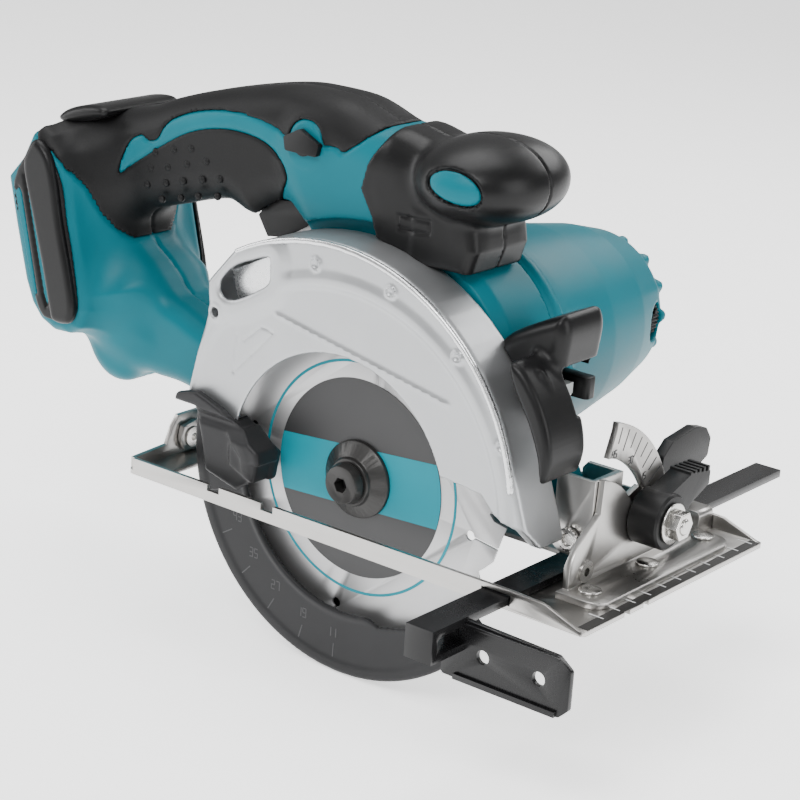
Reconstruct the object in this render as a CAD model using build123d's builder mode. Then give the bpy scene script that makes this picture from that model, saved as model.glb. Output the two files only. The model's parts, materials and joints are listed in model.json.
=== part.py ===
from build123d import *
import math
import os

os.makedirs("parts", exist_ok=True)

# Cordless trim saw. Millimetres. +X is the cutting direction, +Y the motor side, +Z up.
# Z = 0 is the sole of the base plate, X = 0 the blade axis, Y = 0 the middle of the base plate.

# ---------------------------------------------------------------- driving dimensions
BLADE_R = 68.0            # 136 mm blade
MAX_CUT = 51.0            # depth of cut at 90 degrees
BLADE_Y = -33.0           # blade plane
BLADE_Z = BLADE_R - MAX_CUT
KERF_HALF = 0.55          # half the thickness of the blade body
TEETH = 16

BASE_REAR, BASE_FRONT = -94.0, 121.0
BASE_HALF = 60.0          # half the width of the base plate
BASE_T = 1.8
LIP_H = 7.0

BEVEL_Y, BEVEL_Z = -28.0, 8.5          # bevel axis, along X
DEPTH_X, DEPTH_Z = 88.0, 16.0          # depth axis, along Y
EAR_X = -94.0                          # rear pivot ear
QUAD_X = 96.5                          # back face of the quadrant plate
QUAD_T = 2.5
QUAD_R = 54.0
SLOT_R, SLOT_HALF = 37.0, 4.0          # arc slot of the quadrant
BOLT_ANGLE = 20.0                      # bevel bolt seen from the bevel axis
GUIDE_R = 165.0                        # arc of the depth guide about the depth axis
GUIDE_Y = 6.0                          # near face of the depth guide plate
GUIDE_LOW = 2.0                        # depth bolt angle at full depth

SEAM_Y = -13.0            # plane where the two handle halves meet
HANDLE_HALF = 17.0        # half the handle's thickness
MOUNT_HALF = 38.0         # half the width of the battery mount
MOTOR_X, MOTOR_Z = 14.0, 64.0
KNOB_X, KNOB_Z = 36.0, 136.0           # middle of the front grip
KNOB_HALF = (25.0, 31.0, 15.6)         # half its size along X, Y and Z
KNOB_WALL = 2.6

GUARD_IN_R = 50.6         # opening in the near wall of the upper guard
GUARD_NEAR, GUARD_FAR = -49.0, -25.0
GUARD_WALL = 2.0
LOWER_R, LOWER_IN_R = 77.0, 52.3
LOWER_NEAR, LOWER_FAR = -40.0, -27.4
NOSE_R, NOSE_Y = 19.5, -30.0           # spindle nose that carries the lower guard
LEVER_NEAR = -53.5                     # near face of the lower guard's thumb lever

# reduction: pinion 15 / wheel 44, then pinion 13 / wheel 26, all module 1
MODULE = 1.0
Z_SPINDLE, Z_SMALL, Z_LARGE, Z_PINION = 26, 13, 44, 15
STAGE_2 = MODULE * (Z_SPINDLE + Z_SMALL) / 2
STAGE_1 = MODULE * (Z_LARGE + Z_PINION) / 2
LINE = math.atan2(MOTOR_Z - BLADE_Z, MOTOR_X)
COUNTER_X = STAGE_2 * math.cos(LINE)
COUNTER_Z = BLADE_Z + STAGE_2 * math.sin(LINE)
MOTOR_X = (STAGE_1 + STAGE_2) * math.cos(LINE)
MOTOR_Z = BLADE_Z + (STAGE_1 + STAGE_2) * math.sin(LINE)

BRUSH_Y = 93.0            # brush caps along the motor axis

SPIN = (0, BLADE_Z)
COUNTER = (COUNTER_X, COUNTER_Z)
MOTOR = (MOTOR_X, MOTOR_Z)


# ---------------------------------------------------------------- shared helpers
def finish(piece, name):
    """Label one finished sub-part and write its STEP file."""
    piece.part.label = name
    export_step(piece.part, f"parts/{name}.step")


def side(y):
    """Sketch plane seen from the blade side: local x is +X, local y is +Z, normal is -Y."""
    return Plane.XZ.offset(-y)


def cross(x):
    """Sketch plane across the saw: local x is +Y, local y is +Z, normal is +X."""
    return Plane.YZ.offset(x)


def polar(centre, radius, degrees):
    """Point at a radius and angle about a centre."""
    angle = math.radians(degrees)
    return (centre[0] + radius * math.cos(angle), centre[1] + radius * math.sin(angle))


def slab(outline, near, far, corner=0, mode=Mode.ADD):
    """Plate parallel to the blade: a closed outline in X and Z between two Y values."""
    with BuildSketch(side(far)) as sketch:
        with BuildLine():
            Polyline(*outline, close=True)
        make_face()
        if corner:
            fillet(sketch.vertices(), corner)
    return extrude(sketch.sketch, amount=far - near, mode=mode)


def band(outline, rear, front, corner=0, mode=Mode.ADD):
    """Plate across the saw: a closed outline in Y and Z between two X values."""
    with BuildSketch(cross(rear)) as sketch:
        with BuildLine():
            Polyline(*outline, close=True)
        make_face()
        if corner:
            fillet(sketch.vertices(), corner)
    return extrude(sketch.sketch, amount=front - rear, mode=mode)


def drum(centre, radius, near, far, mode=Mode.ADD):
    """Cylinder along Y about a centre given in X and Z."""
    with BuildSketch(side(far)) as sketch:
        with Locations(centre):
            Circle(radius)
    return extrude(sketch.sketch, amount=far - near, mode=mode)


def rod(centre, radius, rear, front, mode=Mode.ADD):
    """Cylinder along X about a centre given in Y and Z."""
    with BuildSketch(cross(rear)) as sketch:
        with Locations(centre):
            Circle(radius)
    return extrude(sketch.sketch, amount=front - rear, mode=mode)


def post(x, y, radius, low, high, mode=Mode.ADD):
    """Cylinder along Z."""
    with BuildSketch(Plane.XY.offset(low)) as sketch:
        with Locations((x, y)):
            Circle(radius)
    return extrude(sketch.sketch, amount=high - low, mode=mode)


def block(x, y, z, mode=Mode.ADD):
    """Box from three (low, high) pairs."""
    with BuildSketch(Plane.XY.offset(z[0])) as sketch:
        with Locations(((x[0] + x[1]) / 2, (y[0] + y[1]) / 2)):
            Rectangle(x[1] - x[0], y[1] - y[0])
    return extrude(sketch.sketch, amount=z[1] - z[0], mode=mode)


def prism(outline, low, high, mode=Mode.ADD):
    """Upright prism: a closed outline in X and Y between two Z values."""
    with BuildSketch(Plane.XY.offset(low)) as sketch:
        with BuildLine():
            Polyline(*outline, close=True)
        make_face()
    return extrude(sketch.sketch, amount=high - low, mode=mode)


def turned(profile, centre, mode=Mode.ADD):
    """Solid turned about a line along Y: profile is (radius, y) points."""
    with BuildSketch(Plane((centre[0], 0, centre[1]), x_dir=(1, 0, 0), z_dir=(0, 0, 1))) as sketch:
        with BuildLine():
            Polyline(*profile, close=True)
        make_face()
    return revolve(sketch.sketch, axis=Axis((centre[0], 0, centre[1]), (0, 1, 0)), mode=mode)


def gear(centre, teeth, near, far, phase=0.0, play=0.94):
    """Spur gear along Y. The phase is the angle of one tooth's middle, in degrees."""
    pitch = MODULE * teeth / 2
    tip, root = pitch + 0.8 * MODULE, pitch - 1.1 * MODULE
    step = 360 / teeth
    outline = []
    for n in range(teeth):
        middle = phase + n * step
        for share, radius in ((-0.34, root), (-0.13, tip), (0.13, tip), (0.34, root)):
            outline.append(polar(centre, radius, middle + share * step * play))
    slab(outline, near, far)


def bearing(centre, bore, outer, near, far):
    """Ball bearing as one closed ring, with a groove in each face."""
    drum(centre, outer, near, far)
    drum(centre, bore, near, far, Mode.SUBTRACT)
    for low, high in ((near, near + 0.6), (far - 0.6, far)):
        middle, half = (bore + outer) / 2, (outer - bore) / 5
        with BuildSketch(side(high)) as groove:
            with Locations(centre):
                Circle(middle + half)
                Circle(middle - half, mode=Mode.SUBTRACT)
        extrude(groove.sketch, amount=high - low, mode=Mode.SUBTRACT)


# ================================================================ shoe
RIVET_X = 105.0
RIVET_YS = (-33.0, 4.0, 42.0)
WINDOW = ((-80.0, 75.0), (-57.6, -4.0))
BAR_X = (78.0, 89.5)           # guide arm
BAR_Z = (2.2, 5.2)

with BuildPart() as base_plate:
    with BuildSketch():
        with Locations(((BASE_REAR + BASE_FRONT) / 2, 0)):
            Rectangle(BASE_FRONT - BASE_REAR, 2 * BASE_HALF)
    extrude(amount=BASE_T)
    corners = base_plate.edges().filter_by(Axis.Z)
    fillet(corners.group_by(Axis.X)[0], 3)
    fillet(corners.group_by(Axis.X)[-1], 2)
    lip = [(-91, 0), (-91, LIP_H - 0.5), (90, LIP_H + 0.5), (104, LIP_H), (118.5, BASE_T), (118.5, 0)]
    slab(lip, -BASE_HALF, -BASE_HALF + 1.6)
    slab(lip, BASE_HALF - 1.6, BASE_HALF)
    band([(-58, 0), (-58, LIP_H - 1), (-40, LIP_H), (-37, 14), (-34, 18), (-22, 18), (-19, 14),
          (-16, LIP_H), (58, LIP_H - 1), (58, 0)], EAR_X, EAR_X + 1.8)
    block(WINDOW[0], WINDOW[1], (-1, 3), Mode.SUBTRACT)
    fillet(base_plate.edges().filter_by(Axis.Z).filter_by_position(Axis.Y, WINDOW[1][0] - 0.1, WINDOW[1][1] + 0.1)
           .filter_by_position(Axis.X, WINDOW[0][0] - 1, WINDOW[0][1] + 1), 3)
    rod((BEVEL_Y, BEVEL_Z), 2.6, EAR_X - 1, EAR_X + 3, Mode.SUBTRACT)
    for edge in (-BASE_HALF, BASE_HALF - 1.6):
        block((BAR_X[0] - 0.5, BAR_X[1] + 0.5), (edge - 1, edge + 2.6), (BASE_T, 5.8), Mode.SUBTRACT)
    for start in (-52, -25):
        block((start, start + 6), (-BASE_HALF - 1, -BASE_HALF + 2), (4.2, 9), Mode.SUBTRACT)
    for sight, width in ((BLADE_Y, 1.6), (BLADE_Y + 12, 1.6)):
        block((BASE_FRONT - 9, BASE_FRONT + 1), (sight - width, sight + width), (-1, 3), Mode.SUBTRACT)
    for rivet in RIVET_YS:
        post(RIVET_X, rivet, 2.0, -1, 3, Mode.SUBTRACT)
    for spot in ((BAR_X[0] - 7, 54), (BAR_X[1] + 7, 54)):
        post(spot[0], spot[1], 1.6, -1, 3, Mode.SUBTRACT)
finish(base_plate, "base_plate")

QUAD = (BEVEL_Y, BEVEL_Z)
quadrant_path = CenterArc(QUAD, SLOT_R, 15, 60)
with BuildPart() as front_bevel_bracket:
    block((QUAD_X, 115), (-42, 48), (BASE_T, BASE_T + QUAD_T))
    fillet(front_bevel_bracket.edges().filter_by(Axis.Z).group_by(Axis.X)[-1], 7)
    with BuildSketch(cross(QUAD_X)) as quadrant:
        with BuildLine():
            Polyline((-38, BASE_T), (-38, 12), (-34, 19), (-21, 28), (-20, 46), (-15.5, 57.5))
            tip = polar(QUAD, QUAD_R, 76)
            Line((-15.5, 57.5), tip)
            RadiusArc(tip, polar(QUAD, QUAD_R, 17), QUAD_R)
            Polyline(polar(QUAD, QUAD_R, 17), (26, 10), (26, BASE_T), (-38, BASE_T))
        make_face()
    extrude(amount=QUAD_T)
    with BuildSketch(cross(QUAD_X)):
        SlotArc(quadrant_path, 2 * SLOT_HALF)
    extrude(amount=QUAD_T, mode=Mode.SUBTRACT)
    rod(QUAD, 2.6, QUAD_X - 1, QUAD_X + 4, Mode.SUBTRACT)
    for rivet in RIVET_YS:
        post(RIVET_X, rivet, 2.0, 0, 6, Mode.SUBTRACT)
finish(front_bevel_bracket, "front_bevel_bracket")

with BuildPart() as bracket_rivets:
    for rivet in RIVET_YS:
        post(RIVET_X, rivet, 2.0, 0.3, BASE_T + QUAD_T)
        post(RIVET_X, rivet, 4.2, BASE_T + QUAD_T, BASE_T + QUAD_T + 0.9)
finish(bracket_rivets, "bracket_rivets")

CARRIER_X = (93.8, 96.2)          # carrier plate behind the quadrant
REAR_X = (-91.9, -89.7)           # rear carrier plate in front of the ear
with BuildPart() as bevel_pivot_rivets:
    for low, high in ((CARRIER_X[0] - 1, QUAD_X + QUAD_T + 0.9), (EAR_X - 0.9, REAR_X[1] + 1)):
        rod(QUAD, 2.6, low, high)
        rod(QUAD, 4.1, low, low + 0.9)
        rod(QUAD, 4.1, high - 0.9, high)
        rod(QUAD, 1.6, low, high, Mode.SUBTRACT)
finish(bevel_pivot_rivets, "bevel_pivot_rivets")

CLAMP_Y = (48.0, 58.0)
CLAMP_X = 84.0
with BuildPart() as guide_clamp_block:
    block((BAR_X[0] - 10, BAR_X[1] + 10), CLAMP_Y, (BASE_T, 10.5))
    fillet(guide_clamp_block.edges().filter_by(Axis.Y).group_by(Axis.Z)[-1], 2)
    block((BAR_X[0] - 0.5, BAR_X[1] + 0.5), (CLAMP_Y[0] - 1, CLAMP_Y[1] + 1), (0, 5.8), Mode.SUBTRACT)
    post(CLAMP_X, 53, 3.05, 5, 12, Mode.SUBTRACT)
finish(guide_clamp_block, "guide_clamp_block")

# ================================================================ guide rule
BAR_NEAR, BAR_FAR = -103.0, 128.0
FENCE_Y = -84.0
with BuildPart() as guide_rule:
    block(BAR_X, (BAR_NEAR, BAR_FAR), BAR_Z)
    arm_top = [(BAR_NEAR, -7), (BAR_NEAR, 3.2), (BAR_NEAR + 2, 5.2), (BAR_NEAR + 6, 5.2),
               (BAR_NEAR + 6, 2.2), (BAR_NEAR + 3, 1), (BAR_NEAR + 3, -4.5), (FENCE_Y, -4.5),
               (FENCE_Y, -7)]
    band(arm_top, BAR_X[0], BAR_X[1])
    slab([(80, -18.5), (80, 0), (84, 4), (127, 3), (132.5, -1), (132.5, -15), (129, -18.5)],
         FENCE_Y, FENCE_Y + 2, corner=1.5)
    for edge in ((-18.5, -16.5), (2.0, 3.0)):
        block((86, 128), (FENCE_Y - 1.4, FENCE_Y), edge)
    for hole in (97.0, 120.0):
        drum((hole, -7.5), 2.6, FENCE_Y - 3, FENCE_Y + 4, Mode.SUBTRACT)
finish(guide_rule, "guide_rule")

with BuildPart() as guide_clamp_screw:
    post(CLAMP_X, 53, 3.0, BAR_Z[1] + 0.2, 18)
    post(CLAMP_X, 53, 4.6, 11.2, 24)
    wing = [(40, 23), (40, 31), (46, 36), (62, 38), (70, 36), (74, 31), (73, 24), (66, 21)]
    band(wing, CLAMP_X - 2.2, CLAMP_X + 2.2, corner=2)
finish(guide_clamp_screw, "guide_clamp_screw")

# ================================================================ bevel carrier
BOLT = polar(QUAD, SLOT_R, BOLT_ANGLE)
PIN = (DEPTH_X, DEPTH_Z)
LUG = (-19.7, -6.3)               # saw lug between the two cheeks
with BuildPart() as front_carrier:
    band([(-34.2, 8.5), (-33.4, 5.4), (-31.1, 3.1), (-24, 3), (2, 9), (13, 13), (14, 28), (8, 31), (-4, 27), (-4, 39.5),
          (-22, 39.5), (-22, 21), (-30, 16), (-33.5, 11)], CARRIER_X[0], CARRIER_X[1])
    band([(-16, 24), (-16, 34), (-10, 34), (-10, 24)], CARRIER_X[0], CARRIER_X[1], 0, Mode.SUBTRACT)
    cheek = [(80, 12), (84, 9.5), (CARRIER_X[0], 9.5), (CARRIER_X[0], 39.5), (82, 39.5), (80, 37)]
    slab(cheek, LUG[0] - 2.3, LUG[0] - 0.3)
    slab(cheek, LUG[1] + 0.3, LUG[1] + 2.3)
    rod(QUAD, 2.65, CARRIER_X[0] - 1, CARRIER_X[1] + 1, Mode.SUBTRACT)
    rod(BOLT, 3.0, CARRIER_X[0] - 1, CARRIER_X[1] + 1, Mode.SUBTRACT)
    drum(PIN, 3.0, LUG[0] - 4, LUG[1] + 4, Mode.SUBTRACT)
finish(front_carrier, "front_carrier")

with BuildPart() as depth_pivot_pin:
    drum(PIN, 3.0, LUG[0] - 2.6, LUG[1] + 3.4)
    gear_teeth = 18
    outline = []
    for n in range(gear_teeth * 2):
        radius = 4.6 if n % 2 else 4.1
        outline.append(polar(PIN, radius, n * 180 / gear_teeth))
    slab(outline, LUG[0] - 4.7, LUG[0] - 2.6)
    drum(PIN, 2.2, LUG[0] - 4.7, LUG[0] - 3.5, Mode.SUBTRACT)
    drum(PIN, 4.2, LUG[1] + 2.5, LUG[1] + 3.6)
finish(depth_pivot_pin, "depth_pivot_pin")


DEPTH_TRAVEL = 27.0
DEPTH_BOLT = polar(PIN, GUIDE_R, 180 - GUIDE_LOW)
guide_body = CenterArc(PIN, GUIDE_R, 180 + 1, -(GUIDE_LOW + DEPTH_TRAVEL + 2))
guide_slot = CenterArc(PIN, GUIDE_R, 180 - GUIDE_LOW, -DEPTH_TRAVEL)
with BuildPart() as depth_guide:
    with BuildSketch(side(GUIDE_Y + 2)):
        SlotArc(guide_body, 16)
    extrude(amount=2)
    slab([(REAR_X[0], 4), (REAR_X[0], 20), (-84, 22), (-70, 20), (-70, 8), (-84, 4)], GUIDE_Y, GUIDE_Y + 2)
    with BuildSketch(side(GUIDE_Y + 2)):
        SlotArc(guide_slot, 6.6)
    extrude(amount=2, mode=Mode.SUBTRACT)
    band([(-34.2, 8.5), (-33.4, 5.4), (-31.1, 3.1), (-24, 3), (GUIDE_Y + 2, 4), (GUIDE_Y + 2, 16), (-20, 13),
          (-26, 15), (-33, 13.5)], REAR_X[0], REAR_X[1])
    rod(QUAD, 2.65, REAR_X[0] - 1, REAR_X[1] + 1, Mode.SUBTRACT)
finish(depth_guide, "depth_guide")

NUT_X = 111.8
with BuildPart() as bevel_bolt:
    rod(BOLT, 3.0, CARRIER_X[0] - 3, 118)
    rod(BOLT, 5.5, CARRIER_X[0] - 3.2, CARRIER_X[0])
    chamfer(bevel_bolt.edges().group_by(Axis.X)[-1], 0.6)
finish(bevel_bolt, "bevel_bolt")

with BuildPart() as bevel_washer:
    rod(BOLT, 7.6, NUT_X, NUT_X + 1)
    rod(BOLT, 3.0, NUT_X - 1, NUT_X + 2, Mode.SUBTRACT)
finish(bevel_washer, "bevel_washer")

with BuildPart() as bevel_nut:
    with BuildSketch(cross(NUT_X + 1)):
        with Locations(BOLT):
            RegularPolygon(5.6, 6)
    extrude(amount=4.4)
    rod(BOLT, 3.0, NUT_X, NUT_X + 6, Mode.SUBTRACT)
finish(bevel_nut, "bevel_nut")

with BuildPart() as bevel_lock_lever:
    rod(BOLT, 10.5, QUAD_X + QUAD_T + 0.4, NUT_X - 0.3)
    chamfer(bevel_lock_lever.edges().group_by(Axis.X)[-1], 0.8)
    reach = [(BOLT[0] + 2, BOLT[1] - 9), (BOLT[0] - 4, BOLT[1] + 9), (BOLT[0] + 14, BOLT[1] + 15),
             (BOLT[0] + 27, BOLT[1] + 13), (BOLT[0] + 27, BOLT[1] + 8), (BOLT[0] + 15, BOLT[1] + 3)]
    band(reach, 101, 110)
    for n in range(5):
        rib = BOLT[0] + 13 + 3 * n
        block((101, 110), (rib, rib + 1.4), (BOLT[1] + 12.5, BOLT[1] + 15.6 - 0.1 * n))
    rod(BOLT, 3.08, QUAD_X, NUT_X + 1, Mode.SUBTRACT)
finish(bevel_lock_lever, "bevel_lock_lever")

# ================================================================ upper guard and gear housing
def guard_radius(degrees):
    """The guard's outer wall is a scroll that opens towards the dust outlet."""
    return 84.0 + 0.125 * (degrees - 30)


def scroll(offset, start, stop, steps=9):
    """Points along the scroll, moved in or out by an offset."""
    span = [start + (stop - start) * n / steps for n in range(steps + 1)]
    return [polar(SPIN, guard_radius(angle) + offset, angle) for angle in span]


GUARD_SCREWS = [(-17, 44), (-22, 78), (38, 62)]
INSERT = (-61.4, 70.5)    # threaded insert that holds a dust nozzle
INSERT_R = 3.4
REAR_EDGE = [(-66, 84), (-66, 72), (-69, 60), (-73, 43), (-76, 30)]
FRONT_EDGE = [(87, 46), (88.5, 17)]
with BuildPart() as upper_guard:
    for near, far, offset, mode in ((GUARD_NEAR, GUARD_FAR, 0, Mode.ADD),
                                    (GUARD_NEAR + GUARD_WALL, GUARD_FAR - GUARD_WALL, -2.2, Mode.SUBTRACT)):
        with BuildSketch(side(far)):
            with BuildLine():
                inset = -offset
                arc = scroll(offset, 30, 124)
                rear = [(x + inset, z - (inset if n == 0 else 0)) for n, (x, z) in enumerate(REAR_EDGE)]
                low = 17 if mode == Mode.ADD else 10
                front = [(FRONT_EDGE[1][0] - inset, low), (FRONT_EDGE[0][0] - inset, FRONT_EDGE[0][1])]
                Spline(*arc)
                Polyline(arc[-1], *rear, (rear[-1][0], low + 11), (-40, low + 11), (-20, low), *front, arc[0])
            make_face()
        extrude(amount=far - near, mode=mode)
    fillet(upper_guard.edges().filter_by(GeomType.BSPLINE).group_by(Axis.Y)[0], 2.5)
    slab([(-90, 5), (-90, 27.9), (-45, 27.9), (-20, 16.9), (100, 16.9), (100, 5)], -60, -10, 0, Mode.SUBTRACT)
    drum(SPIN, GUARD_IN_R, GUARD_NEAR - 1, GUARD_NEAR + GUARD_WALL + 1, Mode.SUBTRACT)
    slab([(20, 10), (40, 30), (49, 35), (59, 35), (65, 33), (69, 28), (73, 25), (80, 23), (85, 20), (86, 10)],
         GUARD_NEAR - 1, GUARD_NEAR + GUARD_WALL + 1, 0, Mode.SUBTRACT)
    slab([(-85, 20), (-85, 52), (-60, 52), (-60, 20)], GUARD_NEAR + GUARD_WALL, GUARD_FAR - GUARD_WALL, 0,
         Mode.SUBTRACT)
    slab([(-59, 80), (-56, 75), (-36, 86), (-37, 97), (-43, 94)], GUARD_NEAR - 1,
         GUARD_NEAR + GUARD_WALL + 1, 0, Mode.SUBTRACT)
    drum(SPIN, 21.0, GUARD_FAR - 3, GUARD_FAR + 1, Mode.SUBTRACT)
    drum(INSERT, INSERT_R, GUARD_NEAR - 1, GUARD_NEAR + 9, Mode.SUBTRACT)
    for spot in GUARD_SCREWS:
        drum(spot, 2.0, GUARD_FAR - 3, GUARD_FAR + 1, Mode.SUBTRACT)
        drum(spot, 3.9, GUARD_FAR - 3, GUARD_FAR - 0.6, Mode.SUBTRACT)
    # corner of the front leg cleared for the guide arm and the base when the saw is tilted
    band([(-50, 16), (-50, 27), (-39, 16)], BAR_X[0] - 1.5, FRONT_EDGE[1][0] + 2, 0, Mode.SUBTRACT)
finish(upper_guard, "upper_guard")

with BuildPart() as nozzle_insert:
    drum(INSERT, INSERT_R, GUARD_NEAR - 0.5, GUARD_NEAR + 9)
    drum(INSERT, 2.0, GUARD_NEAR - 1, GUARD_NEAR + 10, Mode.SUBTRACT)
finish(nozzle_insert, "nozzle_insert")

with BuildPart() as gear_housing:
    drum(MOTOR, 44.0, GUARD_FAR, 5)
    fillet(gear_housing.edges().group_by(Axis.Y)[-1], 1.5)
    drum(SPIN, 14.6, GUARD_FAR, 3)
    slab([(-14, 20), (-29, 60), (50, 40), (14, 14)], GUARD_FAR, 3)
    slab([(40, 30), (52, 44), (74, 44), (84, 30), (89.5, 22.5), (91.8, 19), (92.6, 15), (91.4, 12), (88, 10.6),
          (84, 10.6), (70, 18)],
         LUG[0], LUG[1])
    slab([(-29, 60), (-60, 53), (-84, 49.5), (-84, 17), (-70, 14), (-40, 22), (-14, 20)], -23, -3)
    drum(SPIN, NOSE_R, NOSE_Y, GUARD_FAR)
    # gear chamber, open towards the motor
    drum(COUNTER, 24.0, -16, 6, Mode.SUBTRACT)
    drum(SPIN, 12.4, -16, 2, Mode.SUBTRACT)
    drum(SPIN, 14.4, -15.6, -5, Mode.SUBTRACT)
    drum(MOTOR, 38.0, -1, 6, Mode.SUBTRACT)
    drum(MOTOR, 9.4, -5.5, 0, Mode.SUBTRACT)
    drum(SPIN, 11.0, -28, -15, Mode.SUBTRACT)
    drum(SPIN, 9.0, -40, -20, Mode.SUBTRACT)
    drum(COUNTER, 5.0, -22, -15, Mode.SUBTRACT)
    drum(PIN, 3.08, LUG[0] - 1, LUG[1] + 1, Mode.SUBTRACT)
    drum(DEPTH_BOLT, 3.0, -12, -2, Mode.SUBTRACT)
    for spot in GUARD_SCREWS:
        drum(spot, 2.0, -26, -17, Mode.SUBTRACT)
finish(gear_housing, "gear_housing")

with BuildPart() as gear_cover:
    drum(MOTOR, 43.5, 5, 8)
    drum(MOTOR, 8.0, 4, 9, Mode.SUBTRACT)
    drum(COUNTER, 3.05, 4, 6.5, Mode.SUBTRACT)
finish(gear_cover, "gear_cover")

with BuildPart() as motor_housing:
    turned([(0, 8), (45.5, 8), (45.5, 13), (43, 16), (41, 40), (37, 64), (33, 84), (29.5, 98), (29.5, 100),
            (0, 100)], MOTOR)
    turned([(0, 7), (40, 7), (40, 16), (37.5, 40), (34, 64), (30, 84), (27, 101), (0, 101)], MOTOR,
           Mode.SUBTRACT)
    drum(MOTOR, 29.0, 92, 97)
    drum(MOTOR, 8.0, 90, 98, Mode.SUBTRACT)
    for n in range(12):
        vent = polar(MOTOR, 19, 30 * n)
        drum(vent, 3.0, 90, 98, Mode.SUBTRACT)
    rod((BRUSH_Y, MOTOR_Z), 7.2, MOTOR_X - 36, MOTOR_X - 20, Mode.SUBTRACT)
    rod((BRUSH_Y, MOTOR_Z), 7.2, MOTOR_X + 20, MOTOR_X + 36, Mode.SUBTRACT)
finish(motor_housing, "motor_housing")

with BuildPart() as motor_end_cover:
    turned([(0, 100), (29, 100), (28, 104), (24, 106), (0, 106)], MOTOR)
    drum(MOTOR, 22, 99, 104, Mode.SUBTRACT)
    for n in range(10):
        drum(polar(MOTOR, 29.5, 36 * n + 18), 2.4, 99, 107, Mode.SUBTRACT)
        drum(polar(MOTOR, 14, 36 * n), 2.2, 103, 107, Mode.SUBTRACT)
finish(motor_end_cover, "motor_end_cover")

with BuildPart() as brush_caps:
    for low, high, face in ((-30, -24, -30), (24, 30, 29)):
        rod((BRUSH_Y, MOTOR_Z), 7.0, MOTOR_X + low, MOTOR_X + high)
        block((MOTOR_X + face, MOTOR_X + face + 1), (BRUSH_Y - 0.8, BRUSH_Y + 0.8), (MOTOR_Z - 5.5, MOTOR_Z + 5.5),
              Mode.SUBTRACT)
finish(brush_caps, "brush_caps")

with BuildPart() as field_magnets:
    drum(MOTOR, 31.0, 22, 66)
    drum(MOTOR, 25.5, 21, 67, Mode.SUBTRACT)
finish(field_magnets, "field_magnets")

# ---------------------------------------------------------------- blade train
with BuildPart() as saw_blade:
    outline = []
    for n in range(TEETH):
        start = n * 360 / TEETH
        for turn, radius in ((0, BLADE_R), (2.2, BLADE_R - 1.2), (13, BLADE_R - 3.2), (17.5, BLADE_R - 6.2),
                             (19.5, BLADE_R - 7.6), (21.6, BLADE_R - 5.6)):
            outline.append(polar(SPIN, radius, -(start + turn)))
    slab(outline, BLADE_Y - KERF_HALF, BLADE_Y + KERF_HALF)
    drum(SPIN, 10.0, BLADE_Y - 1, BLADE_Y + 1, Mode.SUBTRACT)
    for n in range(4):
        hole = polar(SPIN, 53, 90 * n - 8)
        drum(hole, 1.9, BLADE_Y - 1, BLADE_Y + 1, Mode.SUBTRACT)
        lead = [polar(SPIN, 53, 90 * n - 8.4), polar(SPIN, 70, 90 * n - 8.3), polar(SPIN, 70, 90 * n - 7.7),
                polar(SPIN, 53, 90 * n - 7.6)]
        slab(lead, BLADE_Y - 1, BLADE_Y + 1, 0, Mode.SUBTRACT)
finish(saw_blade, "saw_blade")

with BuildPart() as inner_flange:
    turned([(0, -30.7), (12, -30.7), (14.5, -31.3), (14.5, BLADE_Y + KERF_HALF), (10, BLADE_Y + KERF_HALF),
            (10, BLADE_Y - KERF_HALF + 0.1), (0, BLADE_Y - KERF_HALF + 0.1)], SPIN)
    drum(SPIN, 6.0, -35, -29, Mode.SUBTRACT)
finish(inner_flange, "inner_flange")

with BuildPart() as outer_flange:
    turned([(0, BLADE_Y - KERF_HALF), (15, BLADE_Y - KERF_HALF), (15, -35.2), (9.5, -38.4), (9.0, -40),
            (0, -40)], SPIN)
    drum(SPIN, 4.0, -41, -33, Mode.SUBTRACT)
finish(outer_flange, "outer_flange")

with BuildPart() as blade_bolt:
    turned([(0, -26), (3.95, -26), (3.95, -40), (7.6, -40), (8.2, -41), (7.2, -44.6), (0, -44.6)], SPIN)
    with BuildSketch(side(-39.6)):
        with Locations(SPIN):
            RegularPolygon(3.0, 6)
    extrude(amount=6, mode=Mode.SUBTRACT)
finish(blade_bolt, "blade_bolt")

with BuildPart() as spindle:
    turned([(0, -33.2), (5.95, -33.2), (5.95, -15.5), (6.5, -15.5), (6.5, -5.2), (0, -5.2)], SPIN)
    drum(SPIN, 4.0, -34, -25.9, Mode.SUBTRACT)
finish(spindle, "spindle")

with BuildPart() as spindle_gear:
    gear(SPIN, Z_SPINDLE, -14.5, -7.5, math.degrees(LINE))
    drum(SPIN, 6.5, -16, -6, Mode.SUBTRACT)
finish(spindle_gear, "spindle_gear")

# ---------------------------------------------------------------- countershaft
with BuildPart() as countershaft:
    drum(COUNTER, 3.0, -20, 6.2)
finish(countershaft, "countershaft")

with BuildPart() as small_gear:
    gear(COUNTER, Z_SMALL, -14.5, -7.5, math.degrees(LINE) + 180 + 180 / Z_SMALL)
    drum(COUNTER, 3.0, -16, -6, Mode.SUBTRACT)
finish(small_gear, "small_gear")

with BuildPart() as large_gear:
    gear(COUNTER, Z_LARGE, -4.5, 1.5, math.degrees(LINE))
    drum(COUNTER, 3.0, -6, 3, Mode.SUBTRACT)
    for n in range(6):
        drum(polar(COUNTER, 13, 60 * n), 3.4, -6, 3, Mode.SUBTRACT)
finish(large_gear, "large_gear")

# ---------------------------------------------------------------- armature
with BuildPart() as armature_shaft:
    drum(MOTOR, 4.0, 3, 99.5)
    gear(MOTOR, Z_PINION, -4.5, 3, math.degrees(LINE) + 180 + 180 / Z_PINION)
finish(armature_shaft, "armature_shaft")

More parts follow.
